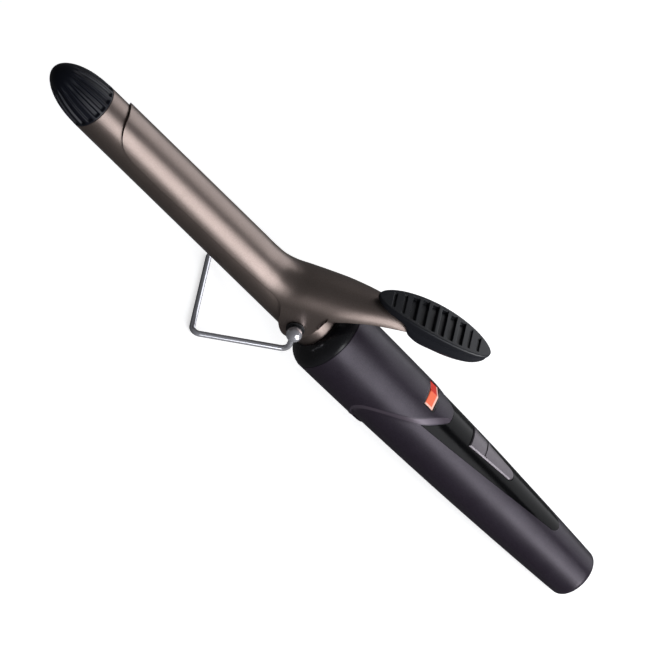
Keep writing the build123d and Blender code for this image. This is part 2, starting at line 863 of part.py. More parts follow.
with BuildPart() as mains_fuse:
    with Locations((-67.6, 0, board_top_z + 2.0)):
        Cylinder(1.8, 8.0, rotation=(90, 0, 0))
    with Locations((-67.6, 0, board_top_z + 0.3)):
        Box(2.0, 5.0, 0.6)

block_mid_x = board_rear_x + 4.0
block_ways = (-3.0, 3.0)

with BuildPart() as terminal_block:
    with Locations((block_mid_x, 0, board_top_z + 2.5)):
        Box(7.0, 11.0, 5.0)
    with Locations(*[(block_mid_x, y, board_top_z + 2.0) for y in block_ways]):
        Cylinder(1.1, 20, rotation=(0, 90, 0), mode=Mode.SUBTRACT)
    with Locations(*[(block_mid_x, y, board_top_z + 4.5) for y in block_ways]):
        Cylinder(1.0, 4.0, mode=Mode.SUBTRACT)

with BuildPart() as terminal_screws:
    with Locations(*[(block_mid_x, y, board_top_z + 3.7) for y in block_ways]):
        Cylinder(1.0, 1.6)
    with Locations(*[(block_mid_x, y, board_top_z + 4.4) for y in block_ways]):
        Box(2.4, 0.4, 0.6, mode=Mode.SUBTRACT)

# ---------------------------------------------------------------- leads from the board to the heater
lead_radius = 0.7
fuse_mid_x = -4.0
lead_over = [
    (-36.0, 4.6, 3.7),
    (-22.0, 4.6, 3.7),
    (-14.0, 4.2, 2.6),
    (16.0, 4.2, 2.6),
    (24.0, 2.6, 2.35),
    (29.6, 2.6, 2.35),
]
lead_under = [
    (-36.0, -4.6, 3.7),
    (-22.0, -4.6, 3.7),
    (-14.0, -4.2, 1.0),
    (16.0, -4.2, -2.0),
    (24.0, -2.6, -2.35),
    (29.6, -2.6, -2.35),
]

with BuildPart() as heater_leads:
    add(thread_of(lead_radius, 1.5, lead_over))
    add(thread_of(lead_radius, 1.5, lead_under))

with BuildPart() as thermal_fuse:
    with Locations((fuse_mid_x, 4.2, 2.6)):
        Cylinder(1.9, 12, rotation=(0, 90, 0))
        Cylinder(lead_radius, 20, rotation=(0, 90, 0), mode=Mode.SUBTRACT)

# ---------------------------------------------------------------- inlet for the supply lead
bush_outer_x = handle_rear_x - 0.8
bush_inner_flange = handle_rear_x + rear_wall

with BuildPart() as inlet_bush:
    with BuildSketch(across(bush_outer_x)):
        Circle(bush_radius)
    extrude(amount=bush_inner_x - bush_outer_x)
    with BuildSketch(across(bush_outer_x)):
        Circle(6.0)
    extrude(amount=0.8)
    with BuildSketch(across(bush_inner_flange)):
        Circle(6.2)
    extrude(amount=1.5)
    with BuildSketch(across(bush_outer_x)):
        Circle(bush_bore_radius)
    extrude(amount=30, mode=Mode.SUBTRACT)
    fillet(inlet_bush.edges().filter_by(GeomType.CIRCLE).group_by(Axis.X)[0], 0.35)

bar_top = -3.2

with BuildPart() as lead_clamp_bar:
    with Locations((clamp_post_x, 0, bar_top - 1.1)):
        Box(4.4, 12.6, 2.2)
    with Locations((clamp_post_x, 0, bar_top + 0.5)):
        Box(2.0, 5.0, 1.2)
    with Locations((clamp_post_x, clamp_post_y, bar_top), (clamp_post_x, -clamp_post_y, bar_top)):
        Cylinder(0.8, 10, mode=Mode.SUBTRACT)

with BuildPart() as lead_clamp_screws:
    with BuildSketch(Plane.XY.offset(bar_top - 2.2)):
        with Locations((clamp_post_x, clamp_post_y), (clamp_post_x, -clamp_post_y)):
            Circle(0.8)
    extrude(amount=7)
    with BuildSketch(Plane.XY.offset(bar_top - 2.2)):
        with Locations((clamp_post_x, clamp_post_y), (clamp_post_x, -clamp_post_y)):
            Circle(1.3)
    extrude(amount=-0.8)

# ---------------------------------------------------------------- stance on the table, and the files
pieces = {
    "barrel": barrel,
    "cool_tip": cool_tip,
    "insulating_film": insulating_film,
    "upper_heat_spreader": upper_heat_spreader,
    "lower_heat_spreader": lower_heat_spreader,
    "electrodes": electrodes,
    "heating_plates": heating_plates,
    "heater_leads": heater_leads,
    "thermal_fuse": thermal_fuse,
    "hinge_pins": hinge_pins,
    "hinge_washers": hinge_washers,
    "clamp": clamp,
    "thumb_rest_top": thumb_rest_top,
    "thumb_rest_base": thumb_rest_base,
    "thumb_rest_studs": thumb_rest_studs,
    "clamp_spring": clamp_spring,
    "stand_wire": stand_wire,
    "stand_balls": stand_balls,
    "insulator_sleeve": insulator_sleeve,
    "front_collar": front_collar,
    "barrel_carrier": barrel_carrier,
    "upper_shell": upper_shell,
    "underside_cover": underside_cover,
    "cover_screws": cover_screws,
    "inlay_panel": inlay_panel,
    "heat_key": heat_key,
    "key_pin": key_pin,
    "key_bracket": key_bracket,
    "key_switches": key_switches,
    "power_rocker": power_rocker,
    "rocker_housing": rocker_housing,
    "pilot_lamp": pilot_lamp,
    "circuit_board": circuit_board,
    "board_screws": board_screws,
    "power_triac": power_triac,
    "film_capacitor": film_capacitor,
    "mains_fuse": mains_fuse,
    "terminal_block": terminal_block,
    "terminal_screws": terminal_screws,
    "inlet_bush": inlet_bush,
    "lead_clamp_bar": lead_clamp_bar,
    "lead_clamp_screws": lead_clamp_screws,
}

# Both ends touch the table when the foot's wire and the rounded rear rim of the handle are level below.
heel_x = handle_rear_x + end_rounding
heel_z = -(handle_radius(heel_x) - end_rounding)
run = foot_x - heel_x
rise = heel_z - foot_z
nose_up = atan2(rise, run) - asin((end_rounding - wire_radius) / hypot(run, rise))
tipped = Location((0, 0, 0), (0, -degrees(nose_up), 0))
tipped_solids = [solid.moved(tipped) for piece in pieces.values() for solid in piece.part.solids()]
box = Compound(tipped_solids).bounding_box()
shift = Vector(-box.center().X, -box.center().Y, -box.min.Z)
stance = Location(tuple(shift)) * tipped

os.makedirs("parts", exist_ok=True)
for name, piece in pieces.items():
    standing = piece.part.moved(stance)
    standing.label = name
    export_step(standing, f"parts/{name}.step")

print("nose up", degrees(nose_up), "shift", shift, "size", box.size)
for title, spot in {
    "hinge": (pivot_x, 0, 0),
    "key pin": (key_pin_x, 0, key_pin_z),
    "inlet": (bush_outer_x, 0, 0),
    "spring foot": (20, 0, barrel_radius),
}.items():
    print(title, (stance * Location(spot)).position)
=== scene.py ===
"""Curling iron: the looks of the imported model, written as a lesson in cells."""

# %% [markdown]
# # A curling iron in satin bronze and aubergine
# The real thing is a heated tube with a spring clamp on it, a wire stand that folds under it, and a
# moulded handle with a glossy panel, a rocking heat key and a red rocker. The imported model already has
# every part at its true size and place. Here each visible part gets its finish, and the parts whose
# form is all in their curves are worked out again as smooth surfaces, with the same measures.

# %% Load the fixed frame and keep its box
import json
import math

import bmesh
import bpy
import numpy as np
from mathutils import Matrix, Vector


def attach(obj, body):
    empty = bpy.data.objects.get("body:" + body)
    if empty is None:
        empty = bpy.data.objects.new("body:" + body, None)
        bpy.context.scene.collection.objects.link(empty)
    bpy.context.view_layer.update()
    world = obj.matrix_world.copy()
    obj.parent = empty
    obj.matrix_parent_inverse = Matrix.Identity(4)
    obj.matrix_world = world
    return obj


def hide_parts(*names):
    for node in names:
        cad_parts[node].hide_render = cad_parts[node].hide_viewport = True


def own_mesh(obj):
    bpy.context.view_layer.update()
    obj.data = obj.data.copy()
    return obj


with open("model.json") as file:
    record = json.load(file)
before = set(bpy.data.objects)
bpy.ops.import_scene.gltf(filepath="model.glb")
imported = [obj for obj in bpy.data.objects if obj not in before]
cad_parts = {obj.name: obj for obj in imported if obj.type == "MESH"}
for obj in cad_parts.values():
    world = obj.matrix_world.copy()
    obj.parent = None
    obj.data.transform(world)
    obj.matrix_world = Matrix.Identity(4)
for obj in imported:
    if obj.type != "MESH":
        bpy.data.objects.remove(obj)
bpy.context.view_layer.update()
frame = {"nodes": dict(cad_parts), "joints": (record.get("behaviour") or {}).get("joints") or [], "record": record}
record = frame["record"]

# %% [markdown]
# ## The iron's own axes
# The iron stands with its nose up, so its barrel isn't level. It is far easier to think along the
# barrel: x towards the cool tip, y to the left, z to the clamp, in millimetres, with x = 0 where the
# handle meets its collar. The rocker's joint gives the barrel's direction and the clamp's hinge gives a
# point on its axis, so these axes are read from the frame and never guessed.

# %% From the iron's axes to the table
joint = {j["name"]: j for j in frame["joints"]}
hinge_x = 16.4
along = np.array(joint["power_rocker_tilt"]["axis"], float)
left = np.array([0.0, 1.0, 0.0])
iron_axes = np.array([along, left, np.cross(along, left)])
iron_origin = 1000 * np.array(joint["clamp_hinge"]["pos_m"], float) - hinge_x * along
nose_up = math.atan2(along[2], along[0])


def standing(points):
    """Points in the iron's axes, in millimetres, as points on the table, in metres."""
    return (np.asarray(points, float) @ iron_axes + iron_origin) / 1000


print("nose up by", round(math.degrees(nose_up), 2), "degrees")
print("x = 0 is at", standing([0, 0, 0]).round(4))

# %% [markdown]
# ## Curves through a few points
# A shape is known by a few measures, and the curve between them has to be smooth. Between two
# neighbours we use a cubic that leaves each point along the line through the points either side of it.
# A corner that a mould or a press would leave slightly round is eased with a short parabola.

# %% Helpers for curves
def smooth_value(knots, values, at):
    """The smooth curve through (knot, value), read at any places.

    Each stretch is the Hermite cubic of its two ends, whose slopes are the weighted mean of the slopes
    on either side; beyond the first and last knot the end value holds."""
    knots, values = np.asarray(knots, float), np.asarray(values, float)
    slope = np.gradient(values, knots, axis=0)
    at = np.clip(np.asarray(at, float), knots[0], knots[-1])
    i = np.clip(np.searchsorted(knots, at, side="right") - 1, 0, len(knots) - 2)
    width = knots[i + 1] - knots[i]
    f = (at - knots[i]) / width
    if values.ndim > 1:
        f, width = f[..., None], width[..., None]
    start = (1 + 2 * f) * (1 - f) ** 2 * values[i] + f * (1 - f) ** 2 * width * slope[i]
    end = f**2 * (3 - 2 * f) * values[i + 1] - f**2 * (1 - f) * width * slope[i + 1]
    return start + end


def curve_through(points, count):
    """count points evenly spaced along the smooth curve through the given points."""
    points = np.asarray(points, float)
    reach = np.concatenate([[0], np.cumsum(np.linalg.norm(np.diff(points, axis=0), axis=1))])
    return smooth_value(reach, points, np.linspace(0, reach[-1], count))


def bezier(corners, t):
    """The cubic Bezier curve of four corners at the shares t of its run."""
    a, b, c, d = (np.asarray(corner, float) for corner in corners)
    t = np.asarray(t, float)[:, None]
    return (1 - t) ** 3 * a + 3 * t * (1 - t) ** 2 * b + 3 * t**2 * (1 - t) * c + t**3 * d


def eased(corners, cut, steps=6, closed=True):
    """An outline whose every corner is replaced by the parabola that touches both its sides, cut away
    from the corner."""
    corners = np.asarray(corners, float)
    cut = np.broadcast_to(np.asarray(cut, float).reshape(-1, 1), (len(corners), 1))
    before, after = np.roll(corners, 1, axis=0) - corners, np.roll(corners, -1, axis=0) - corners
    a = corners + cut * before / np.linalg.norm(before, axis=1, keepdims=True)
    b = corners + cut * after / np.linalg.norm(after, axis=1, keepdims=True)
    t = np.linspace(0, 1, steps)[None, :, None]
    bent = (1 - t) ** 2 * a[:, None] + 2 * t * (1 - t) * corners[:, None] + t**2 * b[:, None]
    if closed:
        return bent.reshape(-1, corners.shape[1])
    return np.concatenate([corners[:1], bent[1:-1].reshape(-1, corners.shape[1]), corners[-1:]])


def smooth_step(share):
    """0 below 0, 1 above 1, and between them the S-shaped cubic 3t^2 - 2t^3."""
    share = np.clip(share, 0, 1)
    return share * share * (3 - 2 * share)


# %% [markdown]
# ## Turning a grid of points into a piece
# Every new piece is a grid of points: rows one way, columns the other. Neighbours are joined by
# four-cornered faces, a grid that closes on itself wraps round, and where a whole row falls on one
# point, as at a pole, the doubled points are merged, so that the piece is closed.

# %% Helpers for pieces
DOUBLES = 2e-6  # metres; points nearer than this are one point


def grid_faces(rows, columns, wrap_rows, wrap_columns):
    """The corners of every four-cornered face of a grid, row by row."""
    i = np.arange(rows if wrap_rows else rows - 1)[:, None]
    j = np.arange(columns if wrap_columns else columns - 1)[None, :]
    below, right = (i + 1) % rows, (j + 1) % columns
    corners = [i * columns + j, below * columns + j, below * columns + right, i * columns + right]
    return np.stack(corners, axis=-1).reshape(-1, 4)


def face_away_from_axis(mesh):
    """Turns an open sheet over if its faces mostly look towards the barrel's axis."""
    count = len(mesh.polygons)
    normal, centre = np.zeros(3 * count), np.zeros(3 * count)
    mesh.polygons.foreach_get("normal", normal)
    mesh.polygons.foreach_get("center", centre)
    out = (1000 * centre.reshape(-1, 3) - iron_origin) @ iron_axes.T
    out[:, 0] = 0
    if np.sum((normal.reshape(-1, 3) @ iron_axes.T) * out) < 0:
        mesh.flip_normals()


def piece_from_grid(
    name, points, body, finish, wrap=(False, False), keep=None, sharp=32.0, stands_for=()
):
    """A mesh piece from a grid of points in the iron's axes.

    wrap says whether rows and columns close on themselves, keep which faces stay, sharp the angle in
    degrees from which an edge is crisp, and stands_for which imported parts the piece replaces."""
    points = np.asarray(points, float)
    rows, columns = points.shape[:2]
    faces = grid_faces(rows, columns, *wrap)
    if keep is not None:
        faces = faces[keep(points.reshape(-1, 3)[faces].mean(axis=1))]
    mesh = bpy.data.meshes.new(name)
    mesh.from_pydata(standing(points.reshape(-1, 3)).tolist(), [], faces.tolist())
    work = bmesh.new()
    work.from_mesh(mesh)
    bmesh.ops.remove_doubles(work, verts=work.verts, dist=DOUBLES)
    bmesh.ops.delete(work, geom=[v for v in work.verts if not v.link_faces], context="VERTS")
    closed = all(len(edge.link_faces) == 2 for edge in work.edges)
    bmesh.ops.recalc_face_normals(work, faces=work.faces)
    work.to_mesh(mesh)
    work.free()
    if not closed:
        face_away_from_axis(mesh)
    mesh.polygons.foreach_set("use_smooth", np.ones(len(mesh.polygons), bool))
    mesh.set_sharp_from_angle(angle=math.radians(sharp))
    mesh.materials.append(finish)
    piece = bpy.data.objects.new(name, mesh)
    bpy.context.scene.collection.objects.link(piece)
    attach(piece, body)
    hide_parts(*stands_for)
    print(name, len(mesh.polygons), "faces,", "closed" if closed else "an open sheet")
    return piece


def turned(profile, sides=160):
    """The profile (x, r) swung round the axis: (x, r sin a, r cos a) for every angle a."""
    profile = np.asarray(profile, float)
    a = np.linspace(0, 2 * np.pi, sides, endpoint=False)
    x, r = profile[:, :1], profile[:, 1:]
    return np.stack([x + 0 * a, r * np.sin(a), r * np.cos(a)], axis=-1)


def wall(piece, thickness, rounding):
    """Gives an open sheet its thickness, inwards, and eases the edges of the cut."""
    solid = piece.modifiers.new("thickness", "SOLIDIFY")
    solid.thickness, solid.offset = thickness / 1000, -1
    if rounding:
        bevel = piece.modifiers.new("edges", "BEVEL")
        bevel.width, bevel.segments, bevel.limit_method = rounding / 1000, 2, "ANGLE"
        bevel.angle_limit = math.radians(50)
    return piece


# %% [markdown]
# ## Effects that several finishes share
# Close to, no surface here is one flat colour. A sprayed coat holds fine flecks and drifts a little in
# tone, moulded plastic has a fine spark-eroded grain, and every part that is handled has faint smears
# where it is shinier. Each effect is a node group that puts out colours, masks and heights only; the
# shader itself stays in each material. All of them read the iron's axes in millimetres.

# %% Node helpers
def put(tree, kind, links=None, **values):
    """Adds a node; links maps an input to another node's output, values sets attributes or inputs."""
    node = tree.nodes.new(kind)
    for key, value in values.items():
        if hasattr(node, key):
            setattr(node, key, value)
    for key, value in (links or {}).items():
        if isinstance(value, bpy.types.NodeSocket):
            tree.links.new(value, node.inputs[key])
        else:
            node.inputs[key].default_value = value
    return node


def new_group(name, inputs, outputs):
    """An empty node group with named sockets, each (name, kind, starting value)."""
    group = bpy.data.node_groups.new(name, "ShaderNodeTree")
    for title, kind, start in inputs:
        socket = group.interface.new_socket(title, in_out="INPUT", socket_type=kind)
        if start is not None:
            socket.default_value = start
    for title, kind in outputs:
        group.interface.new_socket(title, in_out="OUTPUT", socket_type=kind)
    return group, group.nodes.new("NodeGroupInput"), group.nodes.new("NodeGroupOutput")


def maths(tree, operation, a, b):
    """The output of a maths node; a and b are numbers or other nodes' outputs."""
    return put(tree, "ShaderNodeMath", {0: a, 1: b}, operation=operation).outputs[0]


def ramp_mask(tree, value, start, stop):
    """A mask that runs from 0 at start to 1 at stop."""
    ramp = {"Value": value, "From Min": start, "From Max": stop}
    return put(tree, "ShaderNodeMapRange", ramp).outputs[0]


def mixed_colour(tree, share, first, second):
    """The first colour, of which a share is replaced by the second."""
    return put(tree, "ShaderNodeMix", {0: share, 6: first, 7: second}, data_type="RGBA").outputs[2]


NUMBER, COLOUR, VECTOR = "NodeSocketFloat", "NodeSocketColor", "NodeSocketVector"

# %% [markdown]
# ### Flecked coat
# Ceramic and metallic coats are sprayed. Tiny flecks lie in them at random, and over centimetres the
# coat is a touch lighter or darker. Small cells of a Voronoi pattern pick the flecks, a slow noise
# makes the drift, and both only move the colour a little.

# %% The flecked coat group
flecked_coat, group_in, group_out = new_group(
    "flecked coat",
    [
        ("Place", VECTOR, None),
        ("Coat", COLOUR, (0.2, 0.2, 0.2, 1)),
        ("Fleck", COLOUR, (0.5, 0.5, 0.5, 1)),
        ("Fleck size", NUMBER, 0.15),
        ("Fleck share", NUMBER, 0.2),
        ("Drift", NUMBER, 0.1),
    ],
    [("Colour", COLOUR), ("Flecks", NUMBER)],
)
inputs = group_in.outputs
place = inputs["Place"]
density = maths(flecked_coat, "DIVIDE", 1.0, inputs["Fleck size"])
cells = put(flecked_coat, "ShaderNodeTexVoronoi", {"Vector": place, "Scale": density})
pick = put(flecked_coat, "ShaderNodeSeparateColor", {"Color": cells.outputs["Color"]})
flecks = maths(flecked_coat, "MULTIPLY", pick.outputs[0], inputs["Fleck share"])
slow = put(flecked_coat, "ShaderNodeTexNoise", {"Vector": place, "Scale": 0.045, "Detail": 2.0})
centred = maths(flecked_coat, "SUBTRACT", slow.outputs["Fac"], 0.5)
level = maths(flecked_coat, "ADD", maths(flecked_coat, "MULTIPLY", centred, inputs["Drift"]), 1.0)
mixed = mixed_colour(flecked_coat, flecks, inputs["Coat"], inputs["Fleck"])
toned = put(flecked_coat, "ShaderNodeVectorMath", {0: mixed, "Scale": level}, operation="SCALE")
flecked_coat.links.new(toned.outputs[0], group_out.inputs["Colour"])
flecked_coat.links.new(flecks, group_out.inputs["Flecks"])

# %% [markdown]
# ### Handling
# Fingers polish a satin surface in patches, and they leave hair-fine scratches along the length. The
# patches are a mid-sized noise squeezed to soft-edged islands. The scratches are a noise stretched
# along the barrel, eighty to one, of which only the narrow crests count.

# %% The handling group
handling, group_in, group_out = new_group(
    "handling",
    [
        ("Place", VECTOR, None),
        ("Rough", NUMBER, 0.4),
        ("Polished", NUMBER, 0.3),
        ("Patch size", NUMBER, 12.0),
        ("Scratches", NUMBER, 0.3),
    ],
    [("Roughness", NUMBER), ("Scratch height", NUMBER)],
)
inputs = group_in.outputs
place = inputs["Place"]
often = maths(handling, "DIVIDE", 1.0, inputs["Patch size"])
patches = put(handling, "ShaderNodeTexNoise", {"Vector": place, "Scale": often, "Detail": 4.0})
islands = put(
    handling,
    "ShaderNodeMapRange",
    {
        "Value": patches.outputs["Fac"],
        "From Min": 0.42,
        "From Max": 0.66,
        "To Min": inputs["Rough"],
        "To Max": inputs["Polished"],
    },
    interpolation_type="SMOOTHSTEP",
)
drawn_out = put(handling, "ShaderNodeMapping", {"Vector": place, "Scale": (0.04, 3.2, 3.2)}).outputs[0]
threads = put(handling, "ShaderNodeTexNoise", {"Vector": drawn_out, "Scale": 1.0, "Detail": 3.0})
crests = ramp_mask(handling, threads.outputs["Fac"], 0.62, 0.72)
scratch = maths(handling, "MULTIPLY", crests, inputs["Scratches"])
handling.links.new(islands.outputs[0], group_out.inputs["Roughness"])
handling.links.new(scratch, group_out.inputs["Scratch height"])

# %% [markdown]
# ### Moulded grain
# The steel of the mould is spark-eroded, which leaves tiny shallow craters all over the plastic. A fine
# noise with one finer octave on it has the same uneven, non-repeating feel.

# %% The moulded grain group
moulded_grain, group_in, group_out = new_group(
    "moulded grain",
    [("Place", VECTOR, None), ("Grain size", NUMBER, 0.25), ("Depth", NUMBER, 1.0)],
    [("Height", NUMBER)],
)
inputs = group_in.outputs
often = maths(moulded_grain, "DIVIDE", 1.0, inputs["Grain size"])
noise = {"Vector": inputs["Place"], "Scale": often, "Detail": 1.5, "Roughness": 0.6}
craters = put(moulded_grain, "ShaderNodeTexNoise", noise)
deep = maths(moulded_grain, "MULTIPLY", craters.outputs["Fac"], inputs["Depth"])
moulded_grain.links.new(deep, group_out.inputs["Height"])
print("shared effects:", [g.name for g in bpy.data.node_groups])


# %% [markdown]
# ## One recipe for a finish
# Each finish is a Principled shader fed by the three groups with its own numbers: what it is coated
# with, how big its flecks and grain are, and how rough it is where it's fresh and where it's polished.

# %% The recipe
def finish(
    name,
    coat,
    fleck=None,
    fleck_size=0.15,
    fleck_share=0.15,
    drift=0.10,
    rough=0.45,
    polished=0.36,
    patch=14.0,
    scratches=0.2,
    grain=0.25,
    depth=0.004,
    **shader,
):
    """A material of this object. Lengths are millimetres, and shader sets sockets of the Principled."""
    material = bpy.data.materials.new(name)
    material.use_nodes = True
    tree = material.node_tree
    surface = tree.nodes["Principled BSDF"]
    local = put(
        tree,
        "ShaderNodeMapping",
        {
            "Vector": put(tree, "ShaderNodeTexCoord").outputs["Object"],
            "Scale": (1000, 1000, 1000),
            "Rotation": (0, nose_up, 0),
            "Location": tuple(-(iron_axes @ iron_origin)),
        },
    )
    coat_node = put(tree, "ShaderNodeGroup", node_tree=flecked_coat)
    wear_node = put(tree, "ShaderNodeGroup", node_tree=handling)
    grain_node = put(tree, "ShaderNodeGroup", node_tree=moulded_grain)
    settings = {
        coat_node: {
            "Coat": (*coat, 1),
            "Fleck": (*(fleck or coat), 1),
            "Fleck size": fleck_size,
            "Fleck share": fleck_share,
            "Drift": drift,
        },
        wear_node: {"Rough": rough, "Polished": polished, "Patch size": patch, "Scratches": scratches},
        grain_node: {"Grain size": grain, "Depth": 1.0},
    }
    for node, values in settings.items():
        tree.links.new(local.outputs[0], node.inputs["Place"])
        for key, value in values.items():
            node.inputs[key].default_value = value
    height = maths(tree, "SUBTRACT", grain_node.outputs["Height"], wear_node.outputs["Scratch height"])
    relief = {"Height": height, "Distance": depth / 1000, "Strength": 1.0}
    bump = put(tree, "ShaderNodeBump", relief)
    tree.links.new(coat_node.outputs["Colour"], surface.inputs["Base Color"])
    tree.links.new(wear_node.outputs["Roughness"], surface.inputs["Roughness"])
    tree.links.new(bump.outputs["Normal"], surface.inputs["Normal"])
    for key, value in shader.items():
        surface.inputs[key.replace("_", " ")].default_value = value
    print("finish:", name)
    return material


def place_in(material):
    """The x, y and z outputs of a finish's place on the iron, in millimetres."""
    tree = material.node_tree
    local = next(node for node in tree.nodes if node.bl_idname == "ShaderNodeMapping")
    return put(tree, "ShaderNodeSeparateXYZ", {"Vector": local.outputs[0]}).outputs


def repaint(material, mask, colour):
    """Mixes a colour into a finish's own by a mask, and returns the mixed colour's output."""
    tree = material.node_tree
    target = tree.nodes["Principled BSDF"].inputs["Base Color"]
    mixed = mixed_colour(tree, mask, target.links[0].from_socket, colour)
    tree.links.new(mixed, target)
    return mixed


# %% [markdown]
# ## The finishes of this iron
# The barrel and clamp wear a satin ceramic coat, a taupe bronze that is nearly metallic. The handle is
# a dark aubergine satin with a fine metallic fleck. The panel is piano black, the tip blue black, the
# thumb rest soft black, the stand bright chrome, and the rocker a lit red.

# %% Make them
bronze = finish(
    "bronze ceramic coat",
    (0.240, 0.190, 0.168),
    fleck=(0.50, 0.43, 0.41),
    fleck_share=0.22,
    rough=0.38,
    polished=0.34,
    depth=0.0016,
    grain=0.3,
    Metallic=0.92,
)
aubergine = finish(
    "aubergine satin",
    (0.016, 0.0110, 0.020),
    fleck=(0.085, 0.065, 0.098),
    fleck_share=0.28,
    rough=0.42,
    polished=0.35,
    depth=0.003,
    Metallic=0.35,
    Specular_IOR_Level=0.5,
)
tip_black = finish(
    "blue black", (0.0022, 0.0034, 0.010), rough=0.42, polished=0.36, Specular_IOR_Level=0.35
)
soft_black = finish(
    "soft black",
    (0.0045, 0.0055, 0.0095),
    fleck=(0.024, 0.026, 0.036),
    rough=0.42,
    polished=0.36,
    depth=0.006,
    grain=0.35,
)
collar_black = finish("collar black", (0.010, 0.010, 0.012), rough=0.30, polished=0.22, depth=0.003)
piano_black = finish(
    "piano black",
    (0.0025, 0.0025, 0.003),
    rough=0.20,
    polished=0.14,
    depth=0.0004,
    scratches=0.6,
    Specular_IOR_Level=0.12,
)
chrome = finish(
    "bright chrome",
    (0.86, 0.86, 0.92),
    rough=0.16,
    polished=0.09,
    depth=0.0003,
    scratches=1.0,
    patch=6.0,
    Metallic=0.72,
)
key_satin = finish(
    "grey mauve satin",
    (0.110, 0.098, 0.110),
    fleck=(0.30, 0.27, 0.30),
    fleck_share=0.25,
    rough=0.34,
    polished=0.28,
    Metallic=0.55,
)
rocker_red = finish(
    "clear red",
    (0.74, 0.026, 0.008),
    drift=0.2,
    rough=0.24,
    polished=0.18,
    depth=0.0008,
    Emission_Strength=0.30,
)

# %% [markdown]
# The rocker is a lit window. Its left facet is painted a lighter orange, painted light, while the
# other stays a deep red, and the moulded rim along the left and rear edges is painted paler still, a
# painted highlight. The masks are ramps of the iron's own y and x, mixed into the colour of the plain red finish.

# %% The rocker's painted light: a lit facet and a highlighted rim
PAINTED_LIT_ORANGE, PAINTED_HIGHLIGHT_PALE = (0.84, 0.13, 0.045, 1), (0.95, 0.66, 0.56, 1)
tree = rocker_red.node_tree
where = place_in(rocker_red)
# painted light: the left facet is painted a lighter orange than the right one
repaint(rocker_red, ramp_mask(tree, where["Y"], -0.25, 0.35), PAINTED_LIT_ORANGE)
left_edge = ramp_mask(tree, where["Y"], 4.9, 5.3)
rear_edge = ramp_mask(tree, where["X"], -45.35, -45.65)
# painted highlight: the rim along the left and rear edges is painted paler, and these painted colours also feed
# the glow
rim_highlight_mask = maths(tree, "MULTIPLY", maths(tree, "MAXIMUM", left_edge, rear_edge), 0.75)
painted_light_glow = repaint(rocker_red, rim_highlight_mask, PAINTED_HIGHLIGHT_PALE)
tree.links.new(painted_light_glow, tree.nodes["Principled BSDF"].inputs["Emission Color"])

# %% [markdown]
# The crescent facet on the handle's side has a painted highlight, lighter than the skin. It is the only place
# ahead of the panel's middle whose normal leans back along the barrel, so that lean is the mask. The painted
# highlight fades out towards the facet's lower end.

# %% The facet's painted highlight
# painted highlight: the facet's colour is lighter than the skin's
FACET_HIGHLIGHT = (0.085, 0.068, 0.090, 1)
tree = aubergine.node_tree
where = place_in(aubergine)
normal = put(tree, "ShaderNodeNewGeometry").outputs["Normal"]
lean = put(tree, "ShaderNodeVectorMath", {0: normal, 1: tuple(along)}, operation="DOT_PRODUCT")
leaning_back = ramp_mask(tree, lean.outputs["Value"], -0.10, -0.14)
in_front = ramp_mask(tree, where["X"], -75.0, -70.0)
high_up = ramp_mask(tree, where["Z"], -9.5, 1.5)
facet_highlight_mask = maths(tree, "MULTIPLY", maths(tree, "MULTIPLY", leaning_back, in_front), high_up)
repaint(aubergine, facet_highlight_mask, FACET_HIGHLIGHT)

# %% Small parts
washer_black = finish("washer black", (0.012, 0.012, 0.013), rough=0.5, polished=0.42)
zinc = finish("zinc plate", (0.50, 0.50, 0.51), rough=0.34, polished=0.26, Metallic=1.0)
brass = finish("yellow brass", (0.62, 0.44, 0.18), rough=0.32, polished=0.24, Metallic=1.0)
aluminium = finish(
    "extruded aluminium", (0.72, 0.72, 0.73), rough=0.38, polished=0.32, scratches=1.2, Metallic=1.0
)
ceramic_white = finish("pressed ceramic", (0.68, 0.65, 0.58), rough=0.62, polished=0.55)
glass_sleeve = finish(
    "braided sleeve", (0.62, 0.60, 0.54), rough=0.8, polished=0.75, grain=0.5, depth=0.05
)
amber_film = finish("amber film", (0.55, 0.27, 0.04), rough=0.25, polished=0.18)
nylon = finish("natural nylon", (0.52, 0.49, 0.42), rough=0.5, polished=0.44)
board_green = finish("green mask", (0.012, 0.11, 0.05), rough=0.3, polished=0.22)
ochre_dip = finish("ochre dip", (0.52, 0.31, 0.05), rough=0.32, polished=0.25)
rubber = finish(
    "bush rubber", (0.013, 0.013, 0.014), rough=0.62, polished=0.54, grain=0.4, depth=0.01
)
lamp_clear = finish(
    "lamp glass",
    (0.95, 0.62, 0.40),
    rough=0.06,
    polished=0.03,
    depth=0.0,
    Transmission_Weight=1.0,
    IOR=1.48,
)

finish_of_slot = {
    "barrel_coat": bronze,
    "clamp_coat": bronze,
    "cool_tip": tip_black,
    "film": amber_film,
    "spreader": aluminium,
    "electrode": brass,
    "heating_plate": ceramic_white,
    "lead_sleeve": glass_sleeve,
    "fuse_body": ceramic_white,
    "pin_steel": zinc,
    "washer": washer_black,
    "thumb_rest": soft_black,
    "spring_steel": zinc,
    "stand_chrome": chrome,
    "insulator": ceramic_white,
    "collar": collar_black,
    "handle_shell": aubergine,
    "screw_steel": zinc,
    "inlay": piano_black,
    "key": key_satin,
    "bracket": nylon,
    "switch_body": soft_black,
    "rocker": rocker_red,
    "lamp_glass": lamp_clear,
    "board": board_green,
    "chip": soft_black,
    "capacitor": ochre_dip,
    "screw_brass": brass,
    "bush": rubber,
}

# %% [markdown]
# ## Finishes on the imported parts
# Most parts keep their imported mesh: its shape is right, and only its finish is missing. The record says
# which material slot each part takes, so one loop dresses all of them.

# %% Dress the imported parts
slot_of_node = {row["node"]: row["material_slot"] for row in record["subparts"]}
for name, node in frame["nodes"].items():
    node.data.materials.clear()
    node.data.materials.append(finish_of_slot[slot_of_node[name]])
print("dressed", len(slot_of_node), "parts")

# %% [markdown]
# ## Barrel
# The heated barrel is a drawn tube with its ends trimmed and slightly eased. It is the simplest surface
# there is: a thin rectangle, eased at its corners, swung round the axis.

